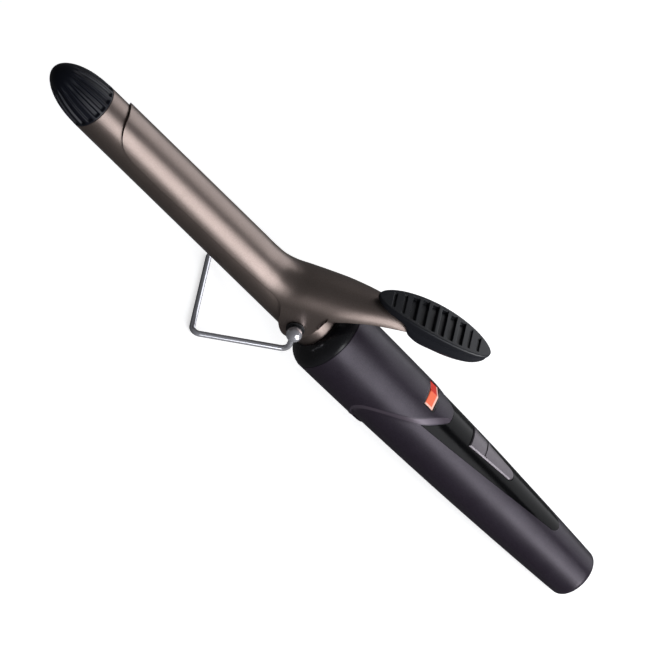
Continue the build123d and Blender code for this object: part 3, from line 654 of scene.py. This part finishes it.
# %% Barrel
barrel_radius, barrel_wall, barrel_ease = 9.5, 0.9, 0.3
barrel_root, barrel_end = -18.0, 137.4
tube = eased(
    [
        (barrel_root, barrel_radius),
        (barrel_end, barrel_radius),
        (barrel_end, barrel_radius - barrel_wall),
        (barrel_root, barrel_radius - barrel_wall),
    ],
    barrel_ease,
)
piece_from_grid(
    "barrel_tube", turned(tube, 192), "root", bronze, (True, True), stands_for=["barrel"]
)

# %% [markdown]
# ## Cool tip
# The tip is moulded in a plastic that stays cool enough to hold. Its dome is a Bezier curve swung round
# the axis, and eighteen flutes are pressed into it: the radius drops by the flute's depth inside each
# flute's arc, with short soft shoulders, and the flutes run out before the crown of the dome.

# %% Cool tip
tip_length, flutes, sides_per_flute = 22.5, 18, 20
flute_arc, flute_depth, flute_shoulder = 14.5, 0.8, 3.0  # degrees, millimetres, degrees
flute_start, flute_end = barrel_end + 0.7, barrel_end + 0.86 * tip_length
flute_lead_in, flute_run_out = 0.7, 6.0
dome = bezier(
    [
        (barrel_end + 0.2, barrel_radius),
        (barrel_end + 0.58 * tip_length, barrel_radius),
        (barrel_end + tip_length, 0.53 * barrel_radius),
        (barrel_end + tip_length, 0.0),
    ],
    np.linspace(0, 1, 110),
)
spigot = [
    (barrel_end - 12, 0.0),
    (barrel_end - 12, 8.2),
    (barrel_end - 0.1, 8.3),
    (barrel_end + 0.0, 9.1),
    (barrel_end + 0.05, 9.35),
]
tip_points = turned(np.concatenate([spigot, dome]), flutes * sides_per_flute)
angle = np.linspace(0, 360, flutes * sides_per_flute, endpoint=False)[None, :]
pitch = 360 / flutes
from_middle = np.abs((angle + pitch / 2) % pitch - pitch / 2)
across_flute = smooth_step((flute_arc / 2 - from_middle) / flute_shoulder)
x = tip_points[..., 0]
lead_in = smooth_step((x - flute_start) / flute_lead_in)
run_out = smooth_step((flute_end - x) / flute_run_out)
sunk = flute_depth * across_flute * lead_in * run_out
radius = np.hypot(tip_points[..., 1], tip_points[..., 2])
at_the_pole = 1e-6  # keeps the division below finite where the radius is nothing
shrink = 1 - sunk / np.maximum(radius, at_the_pole)
tip_points[..., 1:] *= shrink[..., None]
piece_from_grid(
    "cool_tip_dome",
    tip_points,
    "root",
    tip_black,
    (False, True),
    stands_for=["cool_tip"],
    sharp=60,
)

# %% [markdown]
# ## Clamp
# The clamp is one pressed sheet: a half tube that hugs the barrel, ears that wrap down round the hinge,
# and a lever that sweeps up to the thumb. In every cross-section it is a round arch that may go on down
# as a straight side, so a point on it is known by its station x and by how far it lies round the arch
# from the crown. The sheet is ruled between its crown line and its cut edge, and then thickened
# inwards.

# %% Clamp
sheet_gauge, sheet_rounding = 0.7, 0.30
edge_pull = 1.5  # how late a ruled line swings from its crown station to its edge station
lever_stations = [-10.0, 0.0, 8.0, 13.0, 20.0, 26.0, 31.0, 36.0, 41.0, 48.0, 130.0]
lever_half_width = [5.6, 7.6, 9.7, 10.6, 10.6, 10.6, 10.5, 10.42, 10.4, 10.4, 10.4]
lever_crown = [34.6, 31.2, 27.2, 24.3, 20.1, 16.2, 12.9, 10.95, 10.4, 10.4, 10.4]

# the cut edge seen from the side (x, z), and the crown station that each of its points is ruled from
cut_edge = [
    # edge x, edge z, crown x
    (128.45, 10.38, 128.45),
    (128.20, 9.7, 128.0),
    (127.3, 8.2, 127.1),
    (124.7, 5.5, 124.9),
    (121.1, 3.35, 121.7),
    (116.2, 2.15, 117.4),
    (108.5, 1.9, 109.5),
    (80.0, 2.3, 80.0),
    (50.0, 2.8, 50.0),
    (40.0, 3.2, 41.0),
    (33.0, 3.65, 35.5),
    (29.7, 3.2, 33.0),
    (25.6, 0.2, 29.5),
    (22.1, -3.6, 26.5),
    (16.4, -5.95, 23.5),
    (12.2, -3.9, 21.0),
    (10.7, 0.6, 18.8),
    (11.6, 6.0, 17.0),
    (13.6, 11.2, 15.4),
    (10.6, 16.0, 11.6),
    (5.5, 21.2, 6.2),
    (-2.6, 27.0, -1.6),
    (-9.6, 31.2, -9.4),
]


def arch_point(x, turn):
    """The point at station x that lies turn half-widths round the arch from its crown: a quarter
    circle of the half width up to turn = pi/2, then straight down."""
    half = smooth_value(lever_stations, lever_half_width, x)
    crown = smooth_value(lever_stations, lever_crown, x)
    bent = np.minimum(np.abs(turn), np.pi / 2)
    y = half * np.sin(bent) * np.sign(turn)
    z = crown - half + half * np.cos(bent) - half * (np.abs(turn) - bent)
    return np.stack([x + 0 * turn, y, z], axis=-1)


def turn_of(x, z):
    """How far round the arch, in half-widths, the height z lies at station x."""
    half = smooth_value(lever_stations, lever_half_width, x)
    spring = smooth_value(lever_stations, lever_crown, x) - half
    rise = np.clip((z - spring) / half, -1, 1)
    return np.where(z > spring, np.arccos(np.clip(rise, 0, 1)), np.pi / 2 + (spring - z) / half)


edge = curve_through(cut_edge, 300)
edge_turn = turn_of(edge[:, 0], edge[:, 1])
across = np.linspace(-1, 1, 81)[None, :]
station = edge[:, 2:] + (edge[:, :1] - edge[:, 2:]) * np.abs(across) ** edge_pull
clamp_points = arch_point(station, edge_turn[:, None] * across)
clamp_sheet = piece_from_grid(
    "clamp_sheet", clamp_points, "clamp", bronze, stands_for=["clamp"], sharp=60
)
wall(clamp_sheet, sheet_gauge, sheet_rounding)

# %% [markdown]
# ## Thumb rest
# The thumb presses a slotted black oval at the end of the lever. It is two mouldings: a crowned top
# with a crisp rim, and a boat-shaped base under it. The top is a height field over the oval: a long
# shallow crown, less a small round-over at the rim, less ten slots with steep walls. The base is a hull
# whose cross-sections are boxy super-ellipses, as deep as its keel is at that place.

# %% Thumb rest: its own axes
rest_front, rest_slope = np.array([7.7, 0.0, 31.0]), math.radians(20.3)
rest_length, rest_half_width, rest_crown, rest_split = 47.8, 7.9, 2.1, -1.2
rest_half = rest_length / 2


def on_rest(t, s, h):
    """The point t along the thumb rest from its front, s across it and h above its rim plane."""
    ahead = np.array([-math.cos(rest_slope), 0, math.sin(rest_slope)])
    upward = np.array([math.sin(rest_slope), 0, math.cos(rest_slope)])
    return rest_front + t[..., None] * ahead + s[..., None] * left + h[..., None] * upward


def oval(t, half_length, half_width):
    """Half the width of the oval at t: an ellipse about the middle of the rest."""
    return half_width * np.sqrt(np.clip(1 - ((t - rest_half) / half_length) ** 2, 0, 1))


# %% Thumb rest: top
rim_rounding = 0.7
slot_count, slot_pitch, wide_slots_within = 10, 4.0, 11.0
wide_slot, thin_slot = (1.15, 1.45), (0.5, 0.8)  # half the width, and the depth
slot_side, slot_end = 0.35, 0.6  # how far the slots' walls lean
slot_reach_at_middle, no_slot_from = 6.2, 26.0
under_share, foot_height = 0.985, 0.15
t = rest_half * (1 - np.cos(np.linspace(0, np.pi, 460)))[:, None]
half_width = oval(t, rest_half, rest_half_width)
s = half_width * np.sin(np.linspace(-np.pi / 2, np.pi / 2, 96))[None, :]
crown = rest_crown * (1 - ((t - rest_half) / rest_half) ** 2)
inside = np.clip((half_width - np.abs(s)) / rim_rounding, 0, 1)
h = crown - rim_rounding * (1 - np.sqrt(1 - (1 - inside) ** 2))
for i in range(slot_count):
    from_centre = (i - (slot_count - 1) / 2) * slot_pitch
    slot_half, slot_depth = wide_slot if abs(from_centre) < wide_slots_within else thin_slot
    slot_reach = slot_reach_at_middle * (1 - (from_centre / no_slot_from) ** 2)
    along_slot = smooth_step(0.5 + (slot_reach - np.abs(s)) / slot_end)
    across_slot = smooth_step(0.5 + (slot_half - np.abs(t - rest_half - from_centre)) / slot_side)
    h = h - slot_depth * across_slot * along_slot
rim_down = np.minimum(h[:, -1:], rest_split + foot_height)
under = half_width * np.linspace(under_share, -under_share, 9)[None, :]
top_points = np.concatenate(
    [
        on_rest(t + 0 * s, s, h),
        on_rest(t, half_width, rim_down),
        on_rest(t + 0 * under, under, rest_split + 0 * under),
        on_rest(t, -half_width, rim_down),
    ],
    axis=1,
)
piece_from_grid(
    "thumb_rest_slotted_top",
    top_points,
    "clamp",
    soft_black,
    (False, True),
    stands_for=["thumb_rest_top"],
    sharp=50,
)

# %% Thumb rest: base
keel_t = [0.3, 6.0, 13.2, 14.6, 16.2, 18.4, 28.0, 38.0, 44.0, 47.5]
keel_depth = [1.7, 2.4, 2.5, 4.6, 6.9, 8.1, 8.5, 7.7, 6.3, 4.2]
base_half, base_inset = 23.6, 0.3
boxy = 3.4  # 2 would be an ellipse; more is squarer
t = (rest_half - base_half * np.cos(np.linspace(0, np.pi, 240)))[:, None]
depth = smooth_value(keel_t, keel_depth, t) + rest_split
a = np.linspace(0, np.pi, 72)[None, :]
across = np.sign(np.cos(a)) * np.abs(np.cos(a)) ** (2 / boxy)
s = oval(t, base_half, rest_half_width - base_inset) * across
h = rest_split - depth * np.abs(np.sin(a)) ** (2 / boxy)
piece_from_grid(
    "thumb_rest_hull",
    on_rest(t + 0 * s, s, h),
    "clamp",
    soft_black,
    (False, True),
    stands_for=["thumb_rest_base"],
    sharp=50,
)

# %% [markdown]
# ## Clamp spring
# A leaf of spring steel lies on the barrel, turns back on itself and presses up under the lever. It is
# a flat strip: its middle line is a curve in the plane y = 0, and an eased rectangle is carried along
# it. The thumb flattens it as the clamp opens; this piece is drawn at rest.

# %% Clamp spring
leaf_width, leaf_gauge, leaf_ease = 6.0, 0.5, 0.12
leaf_foot, bow_x, bow_radius = 9.75, 13.0, 2.6
swing = np.linspace(-np.pi / 2, -3 * np.pi / 2, 13)
bow_line = np.stack(
    [bow_x + bow_radius * np.cos(swing), leaf_foot + bow_radius * (1 + np.sin(swing))], axis=1
)
foot_line, top_line = [(26.0, leaf_foot), (20.0, leaf_foot)], [(15.6, 16.3), (15.5, 19.0), (14.6, 21.6)]
leaf_line = curve_through(np.concatenate([foot_line, bow_line, top_line]), 90)
ahead = np.gradient(leaf_line, axis=0)
ahead /= np.linalg.norm(ahead, axis=1, keepdims=True)
upward = np.stack([-ahead[:, 1], ahead[:, 0]], axis=1)
y, n = leaf_width / 2, leaf_gauge / 2
section = eased([(y, n), (y, -n), (-y, -n), (-y, n)], leaf_ease, 4)
rows = leaf_line[:, None] + section[None, :, 1:] * upward[:, None]
leaf_points = np.stack([rows[..., 0], section[None, :, 0] + 0 * rows[..., 0], rows[..., 1]], axis=-1)
ends = [np.broadcast_to(leaf_points[i].mean(axis=0), leaf_points[i].shape)[None] for i in (0, -1)]
clamp_leaf = piece_from_grid(
    "clamp_leaf",
    np.concatenate([ends[0], leaf_points, ends[1]]),
    "root",
    zinc,
    (False, True),
    stands_for=["clamp_spring"],
    sharp=40,
)
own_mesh(clamp_leaf)

# %% [markdown]
# ## Handle shell
# The handle's outline is one long arc, so its skin is that arc swung round the axis. In front, a cowl
# stands a little proud of it, and its edge sweeps down the side as a soft crescent facet: a ramp that
# rises from the skin to the cowl. The rows of the grid are laid along that sweep, so that the facet's
# two edges are crisp lines. Under the panel and the rocker the shell is open, as on the real one.

# %% The handle's measures
front_radius, middle, rear_x, rear_radius = 14.75, (-81.0, 13.0), -147.0, 9.7
cowl_step, end_rounding, shell_wall = 0.62, 3.0, 1.6
front_edge, lead_hole = 0.2, 5.2  # where the shell begins, and the radius left open in its rear wall


def arc_through(a, b, c):
    """Centre and radius of the circle through three points (x, r)."""
    a, b, c = np.array(a), np.array(b), np.array(c)
    centre = np.linalg.solve(2 * np.array([b - a, c - a]), np.array([b @ b - a @ a, c @ c - a @ a]))
    return centre, np.linalg.norm(a - centre)


arc_centre, arc_radius = arc_through((0.0, front_radius), middle, (rear_x, rear_radius))


def skin_radius(x):
    """The handle's plain radius at station x: the height of the long arc."""
    return arc_centre[1] + np.sqrt(arc_radius**2 - (np.asarray(x, float) - arc_centre[0]) ** 2)


# the facet's foot: its angle from the top in degrees, its station, and how far forward the ramp runs
sweep_angle = [0, 10, 22, 35, 50, 65, 80, 92, 105, 121, 147, 180]
sweep_foot = [-56.7, -56.5, -54.8, -51.6, -46.9, -39.6, -32.3, -27.8, -25.7, -26.6, -33.5, -38]
sweep_width = [0.5, 0.9, 3.7, 4.7, 4.6, 4.4, 4.3, 3.6, 2.4, 1.2, 0.6, 0.5]


def cowl_rise(x, angle):
    """How far the skin stands above the arc at a station and an angle from the top in degrees."""
    foot = smooth_value(sweep_angle, sweep_foot, np.abs(angle))
    width = smooth_value(sweep_angle, sweep_width, np.abs(angle))
    return cowl_step * np.clip((x - foot) / width, 0, 1)


def split_height(x):
    """The height of the joint between the shell and the cover: a straight line from end to end."""
    front_height, rear_height = -12.2, -8.0
    return front_height + (rear_height - front_height) * x / rear_x


# %% [markdown]
# Each column of the grid keeps one share of the way round to the joint, and the facet is laid out for
# the angle that the column has at a typical station. Ahead of the facet, on it and behind it the rows
# are evenly spaced; behind those come the rounded heel and the flat rear wall.

# %% Shell
typical_x = -45.0
side_share = np.linspace(-1, 1, 181)
half_turn = np.arccos(np.clip(split_height(typical_x) / skin_radius(typical_x), -1, 1))
column_angle = side_share * np.degrees(half_turn)
foot = smooth_value(sweep_angle, sweep_foot, np.abs(column_angle))
width = smooth_value(sweep_angle, sweep_width, np.abs(column_angle))
front_rows = np.linspace(0, 1, 96)[:, None]
ramp_rows = np.linspace(0, 1, 5)[1:, None]
rear_rows = np.linspace(0, 1, 52)[1:, None]
rear_edge = rear_x + end_rounding
rows_x = np.concatenate(
    [
        front_edge + (foot + width - front_edge) * front_rows,
        foot + width - width * ramp_rows,
        foot + (rear_edge - foot) * rear_rows,
    ]
)
rows_r = skin_radius(rows_x) + cowl_rise(rows_x, column_angle[None, :])
bend = np.linspace(0, np.pi / 2, 9)[1:, None]
heel_r = skin_radius(rear_edge)
end_x = rear_edge - end_rounding * np.sin(bend) + 0 * column_angle
end_r = heel_r - end_rounding * (1 - np.cos(bend)) + 0 * column_angle
flat_r = np.linspace(heel_r - end_rounding, lead_hole, 5)[1:, None] + 0 * column_angle
rows_x = np.concatenate([rows_x, end_x, rear_x + 0 * flat_r])
rows_r = np.concatenate([rows_r, end_r, flat_r])
reach = np.arccos(np.clip(split_height(rows_x) / rows_r, -1, 1))
turn = reach * side_share
shell_points = np.stack([rows_x, rows_r * np.sin(turn), rows_r * np.cos(turn)], axis=-1)

# %% [markdown]
# The panel narrows towards the rear with slightly bowed sides. The shell's opening is a little smaller,
# which leaves a ledge for the panel, while the rocker's opening is a little larger than the rocker.

# %% Openings
panel_front, panel_rear = -46.0, -119.3
panel_front_half, panel_rear_half, panel_bow = 10.95, 3.7, 0.7
opening_front, opening_past_rear, ledge = -59.0, 1.5, 1.6
rocker_x, rocker_half_length, rocker_half_width, rocker_room = -44.2, 2.2, 5.7, 0.5


def panel_half_width(x):
    """Half the width of the recess for the panel at station x."""
    middle_half = (panel_front_half + panel_rear_half) / 2 + panel_bow
    knots = [panel_rear, (panel_rear + panel_front) / 2, panel_front]
    return smooth_value(knots, [panel_rear_half, middle_half, panel_front_half], x)


def shell_is_solid(centre):
    """False over the openings under the panel and the rocker, which those two cover."""
    x, y, z = centre.T
    in_panel = (x > panel_rear - opening_past_rear) & (x < opening_front)
    in_panel &= np.abs(y) < panel_half_width(x) - ledge
    in_rocker = np.abs(x - rocker_x) < rocker_half_length + rocker_room
    in_rocker &= np.abs(y) < rocker_half_width + rocker_room
    return ~((z > 0) & (in_panel | in_rocker))


handle_shell = piece_from_grid(
    "handle_shell",
    shell_points,
    "root",
    aubergine,
    keep=shell_is_solid,
    stands_for=["upper_shell"],
    sharp=24,
)
wall(handle_shell, shell_wall, 0)

# %% [markdown]
# ## Collar
# Between the handle and the hot tube sits a black collar, a round nose with a full shoulder. Its
# outline is a curve through six measures, closed behind by the step that plugs into the handle.

# %% Collar
shoulder = [(6.0, 10.5), (5.2, 12.0), (4.2, 13.2), (3.0, 14.25), (1.3, 15.05), (0.25, 15.3)]
collar_back = [(0.25, 12.9), (-8, 12.75), (-8, 10.7), (3.6, 10.7), (3.6, 9.6), (6.1, 9.6), (6.1, 10.2)]
piece_from_grid(
    "collar",
    turned(np.concatenate([curve_through(shoulder, 36), collar_back])),
    "root",
    collar_black,
    (True, True),
    stands_for=["front_collar"],
)

# %% [markdown]
# ## Stand
# The stand is one chrome wire bent in a wide U, with a ball at each end that turns on the hinge pin. A
# circle is carried along the wire's line: at each point two directions across the line span the circle.

# %% Stand
wire_radius, wire_bend, wire_start_reach = 1.1, 2.6, 1.9
ball_y, ball_radius, ball_flat = 13.5, 3.0, 11.3
jog, foot_corner = (11.4, ball_y, -7.2), (41.1, 20.5, -27.6)


def tube_along(path, radius, sides=28):
    """A round tube: every point of path plus radius times (cos a, sin a) in the plane across the path,
    closed with an eased end at both sides."""
    across_hint, end_share = (0.0, 0.7, 0.7), 0.8
    path = np.asarray(path, float)
    ahead = np.gradient(path, axis=0)
    ahead /= np.linalg.norm(ahead, axis=1, keepdims=True)
    u = np.cross(ahead, across_hint)
    u /= np.linalg.norm(u, axis=1, keepdims=True)
    v = np.cross(ahead, u)
    a = np.linspace(0, 2 * np.pi, sides, endpoint=False)[None, :, None]
    ring = np.cos(a) * u[:, None] + np.sin(a) * v[:, None]
    body = path[:, None] + radius * ring
    cap = np.stack([0 * ring[0] + path[0], path[0] + end_share * radius * ring[0]])
    tail = np.stack([path[-1] + end_share * radius * ring[-1], 0 * ring[-1] + path[-1]])
    return np.concatenate([cap, body, tail])


def rounded_path(corners, bend, steps=14):
    """The path through corners, in which every inner corner becomes an arc that touches both runs."""
    corners = np.asarray(corners, float)
    runs = np.diff(corners, axis=0)
    runs /= np.linalg.norm(runs, axis=1, keepdims=True)
    parts = [corners[:1]]
    for i, corner in enumerate(corners[1:-1]):
        into, out = runs[i], runs[i + 1]
        half_turn = math.acos(np.clip(into @ out, -1, 1)) / 2
        inward = (out - into) / np.linalg.norm(out - into)
        centre = corner + inward * bend / math.cos(half_turn)
        a = np.linspace(-half_turn, half_turn, steps)[:, None]
        forward = (into + out) / np.linalg.norm(into + out)
        parts.append(centre + bend * (np.sin(a) * forward - np.cos(a) * inward))
    return np.concatenate([*parts, corners[-1:]])


share = wire_start_reach / math.hypot(jog[0] - hinge_x, jog[2])
wire_start = (hinge_x + share * (jog[0] - hinge_x), ball_y, share * jog[2])
near_side = np.array([wire_start, jog, foot_corner])
route = np.concatenate([near_side, near_side[::-1] * (1, -1, 1)])
piece_from_grid(
    "stand_wire_bent",
    tube_along(rounded_path(route, wire_bend), wire_radius),
    "stand",
    chrome,
    (False, True),
    stands_for=["stand_wire"],
    sharp=50,
)

# %% Balls and washers at the hinge
def turned_at_hinge(profile, sign, sides=64):
    """The profile (y, r) swung round the hinge's axis, on the side that sign names."""
    y, r = np.asarray(profile, float).T[..., None]
    a = np.linspace(0, 2 * np.pi, sides, endpoint=False)
    return np.stack([hinge_x + r * np.cos(a), sign * (y + 0 * a), r * np.sin(a)], axis=-1)


lowest = math.acos((ball_flat - ball_y) / ball_radius)
swing_angle = np.linspace(lowest, 0, 40)
ball_profile = [ball_y, 0] + ball_radius * np.stack([np.cos(swing_angle), np.sin(swing_angle)], axis=1)
flat_profile = [(ball_flat, 0.0), (ball_flat, ball_profile[0, 1] - 0.2)]
ball_profile = np.concatenate([flat_profile, ball_profile[1:]])
washer_profile = eased([(10.72, 1.55), (10.72, 3.5), (11.2, 3.5), (11.2, 1.55)], 0.12)
for side_name, sign in {"left": 1, "right": -1}.items():
    piece_from_grid(
        "stand_ball_" + side_name,
        turned_at_hinge(ball_profile, sign),
        "stand",
        chrome,
        (False, True),
        stands_for=["stand_balls"],
        sharp=50,
    )
    piece_from_grid(
        "hinge_washer_" + side_name,
        turned_at_hinge(washer_profile, sign),
        "root",
        washer_black,
        (True, True),
        stands_for=["hinge_washers"],
    )

# %% [markdown]
# ## Inlet bush
# The supply lead leaves through a soft bush in the rear wall. It is a flanged ring, so its profile is
# a stepped outline with eased corners swung round the axis.

# %% Inlet bush
bush = eased(
    [
        (-147.8, 3.6),
        (-147.8, 6.0),
        (-147.0, 6.0),
        (-147.0, 4.95),
        (-143.0, 4.95),
        (-143.0, 6.2),
        (-141.5, 6.2),
        (-141.5, 4.95),
        (-136.0, 4.95),
        (-136.0, 3.6),
    ],
    0.3,
)
piece_from_grid(
    "lead_bush", turned(bush, 96), "root", rubber, (True, True), stands_for=["inlet_bush"]
)

# %% [markdown]
# ## Floor, lights and camera
# The iron stands on a pale studio floor. A big soft box above either side draws a long bright band on
# the barrel, and the dark line between the bands is the unlit gap overhead. A small box behind the
# handle picks out its facet. The floor looks darker to polished surfaces than to the eye, as if a grey
# card lay beside the iron.

# %% Floor
floor_mesh = bpy.data.meshes.new("floor")
reach = 4.0  # metres
corners = [(-reach, -reach, 0), (reach, -reach, 0), (reach, reach, 0), (-reach, reach, 0)]
floor_mesh.from_pydata(corners, [], [(0, 1, 2, 3)])
floor = bpy.data.objects.new("floor", floor_mesh)
bpy.context.scene.collection.objects.link(floor)
floor_paint = bpy.data.materials.new("pale floor")
floor_paint.use_nodes = True
tree = floor_paint.node_tree
paint = tree.nodes["Principled BSDF"]
paint.inputs["Roughness"].default_value = 0.9
paint.inputs["Specular IOR Level"].default_value = 0.1
GREY, PALE_WHITE, FLOOR_GLOW = (0.16, 0.16, 0.16, 1), (0.90, 0.90, 0.90, 1), 0.66
seen = put(tree, "ShaderNodeLightPath").outputs["Is Camera Ray"]
tree.links.new(mixed_colour(tree, seen, GREY, PALE_WHITE), paint.inputs["Base Color"])
tree.links.new(maths(tree, "MULTIPLY", seen, FLOOR_GLOW), paint.inputs["Emission Strength"])
paint.inputs["Emission Color"].default_value = (1, 1, 1, 1)
floor_mesh.materials.append(floor_paint)

# %% Lights
world = bpy.data.worlds.new("studio")
bpy.context.scene.world = world
world.use_nodes = True
sky = world.node_tree.nodes["Background"].inputs
sky["Color"].default_value, sky["Strength"].default_value = (0.95, 0.97, 1.0, 1), 0.10


COOL, WHITE = (0.96, 0.97, 1.0), (1, 1, 1)
box_distance = 1.4  # metres


def soft_box(name, direction, size, power, colour):
    """A rectangle of light at the boxes' distance, in a direction given in the iron's axes."""
    towards = np.asarray(direction, float) @ iron_axes
    towards /= np.linalg.norm(towards)
    lamp = bpy.data.lights.new(name, "AREA")
    lamp.shape, lamp.energy, lamp.color = "RECTANGLE", power, colour
    lamp.size, lamp.size_y = size
    box = bpy.data.objects.new(name, lamp)
    box.location = standing([0, 0, 0]) + box_distance * towards
    box.rotation_mode = "QUATERNION"
    box.rotation_quaternion = Vector(-towards).to_track_quat("-Z", "Y")
    box.visible_camera = False
    bpy.context.scene.collection.objects.link(box)
    print(name, power, "W")


soft_box("left_box", (-0.50, 0.66, 0.56), (1.4, 1.05), 14.5, COOL)
soft_box("rear_box", (-0.84, 0.50, 0.22), (0.50, 0.50), 9.0, WHITE)
soft_box("right_box", (-0.50, -0.60, 0.62), (1.4, 1.25), 8.0, COOL)

# %% [markdown]
# The camera looks from the tip's side, above and to the left, with a long lens, so that the iron hardly
# shrinks with distance. It is turned about its own line of sight until the barrel falls close to the
# picture's diagonal.

# %% Camera
to_camera = np.array([0.5, 0.6686, 0.5508])
to_camera /= np.linalg.norm(to_camera)
barrel_line = np.array([1.0, 0, 0]) - to_camera[0] * to_camera
to_handle = -barrel_line / np.linalg.norm(barrel_line)
above = np.cross(to_camera, to_handle)
barrel_fall = math.radians(44.26)
picture_right = math.cos(barrel_fall) * to_handle + math.sin(barrel_fall) * above
picture_up = math.cos(barrel_fall) * above - math.sin(barrel_fall) * to_handle
camera_distance, picture_width = 10000.0, 237.5
aim = -1.15 * picture_right + 3.5 * picture_up
axes = np.array([picture_right, picture_up, to_camera]) @ iron_axes
lens = bpy.data.cameras.new("camera")
lens.sensor_width = 36.0
lens.lens = lens.sensor_width * camera_distance / picture_width
lens.clip_end = 40
camera = bpy.data.objects.new("camera", lens)
eye = Matrix.Translation(standing(aim + camera_distance * to_camera))
camera.matrix_world = eye @ Matrix(axes.T.tolist()).to_4x4()
bpy.context.scene.collection.objects.link(camera)
bpy.context.scene.camera = camera
bpy.context.scene.view_settings.view_transform = "Standard"
print("camera at", camera.location, "lens", round(lens.lens), "mm")
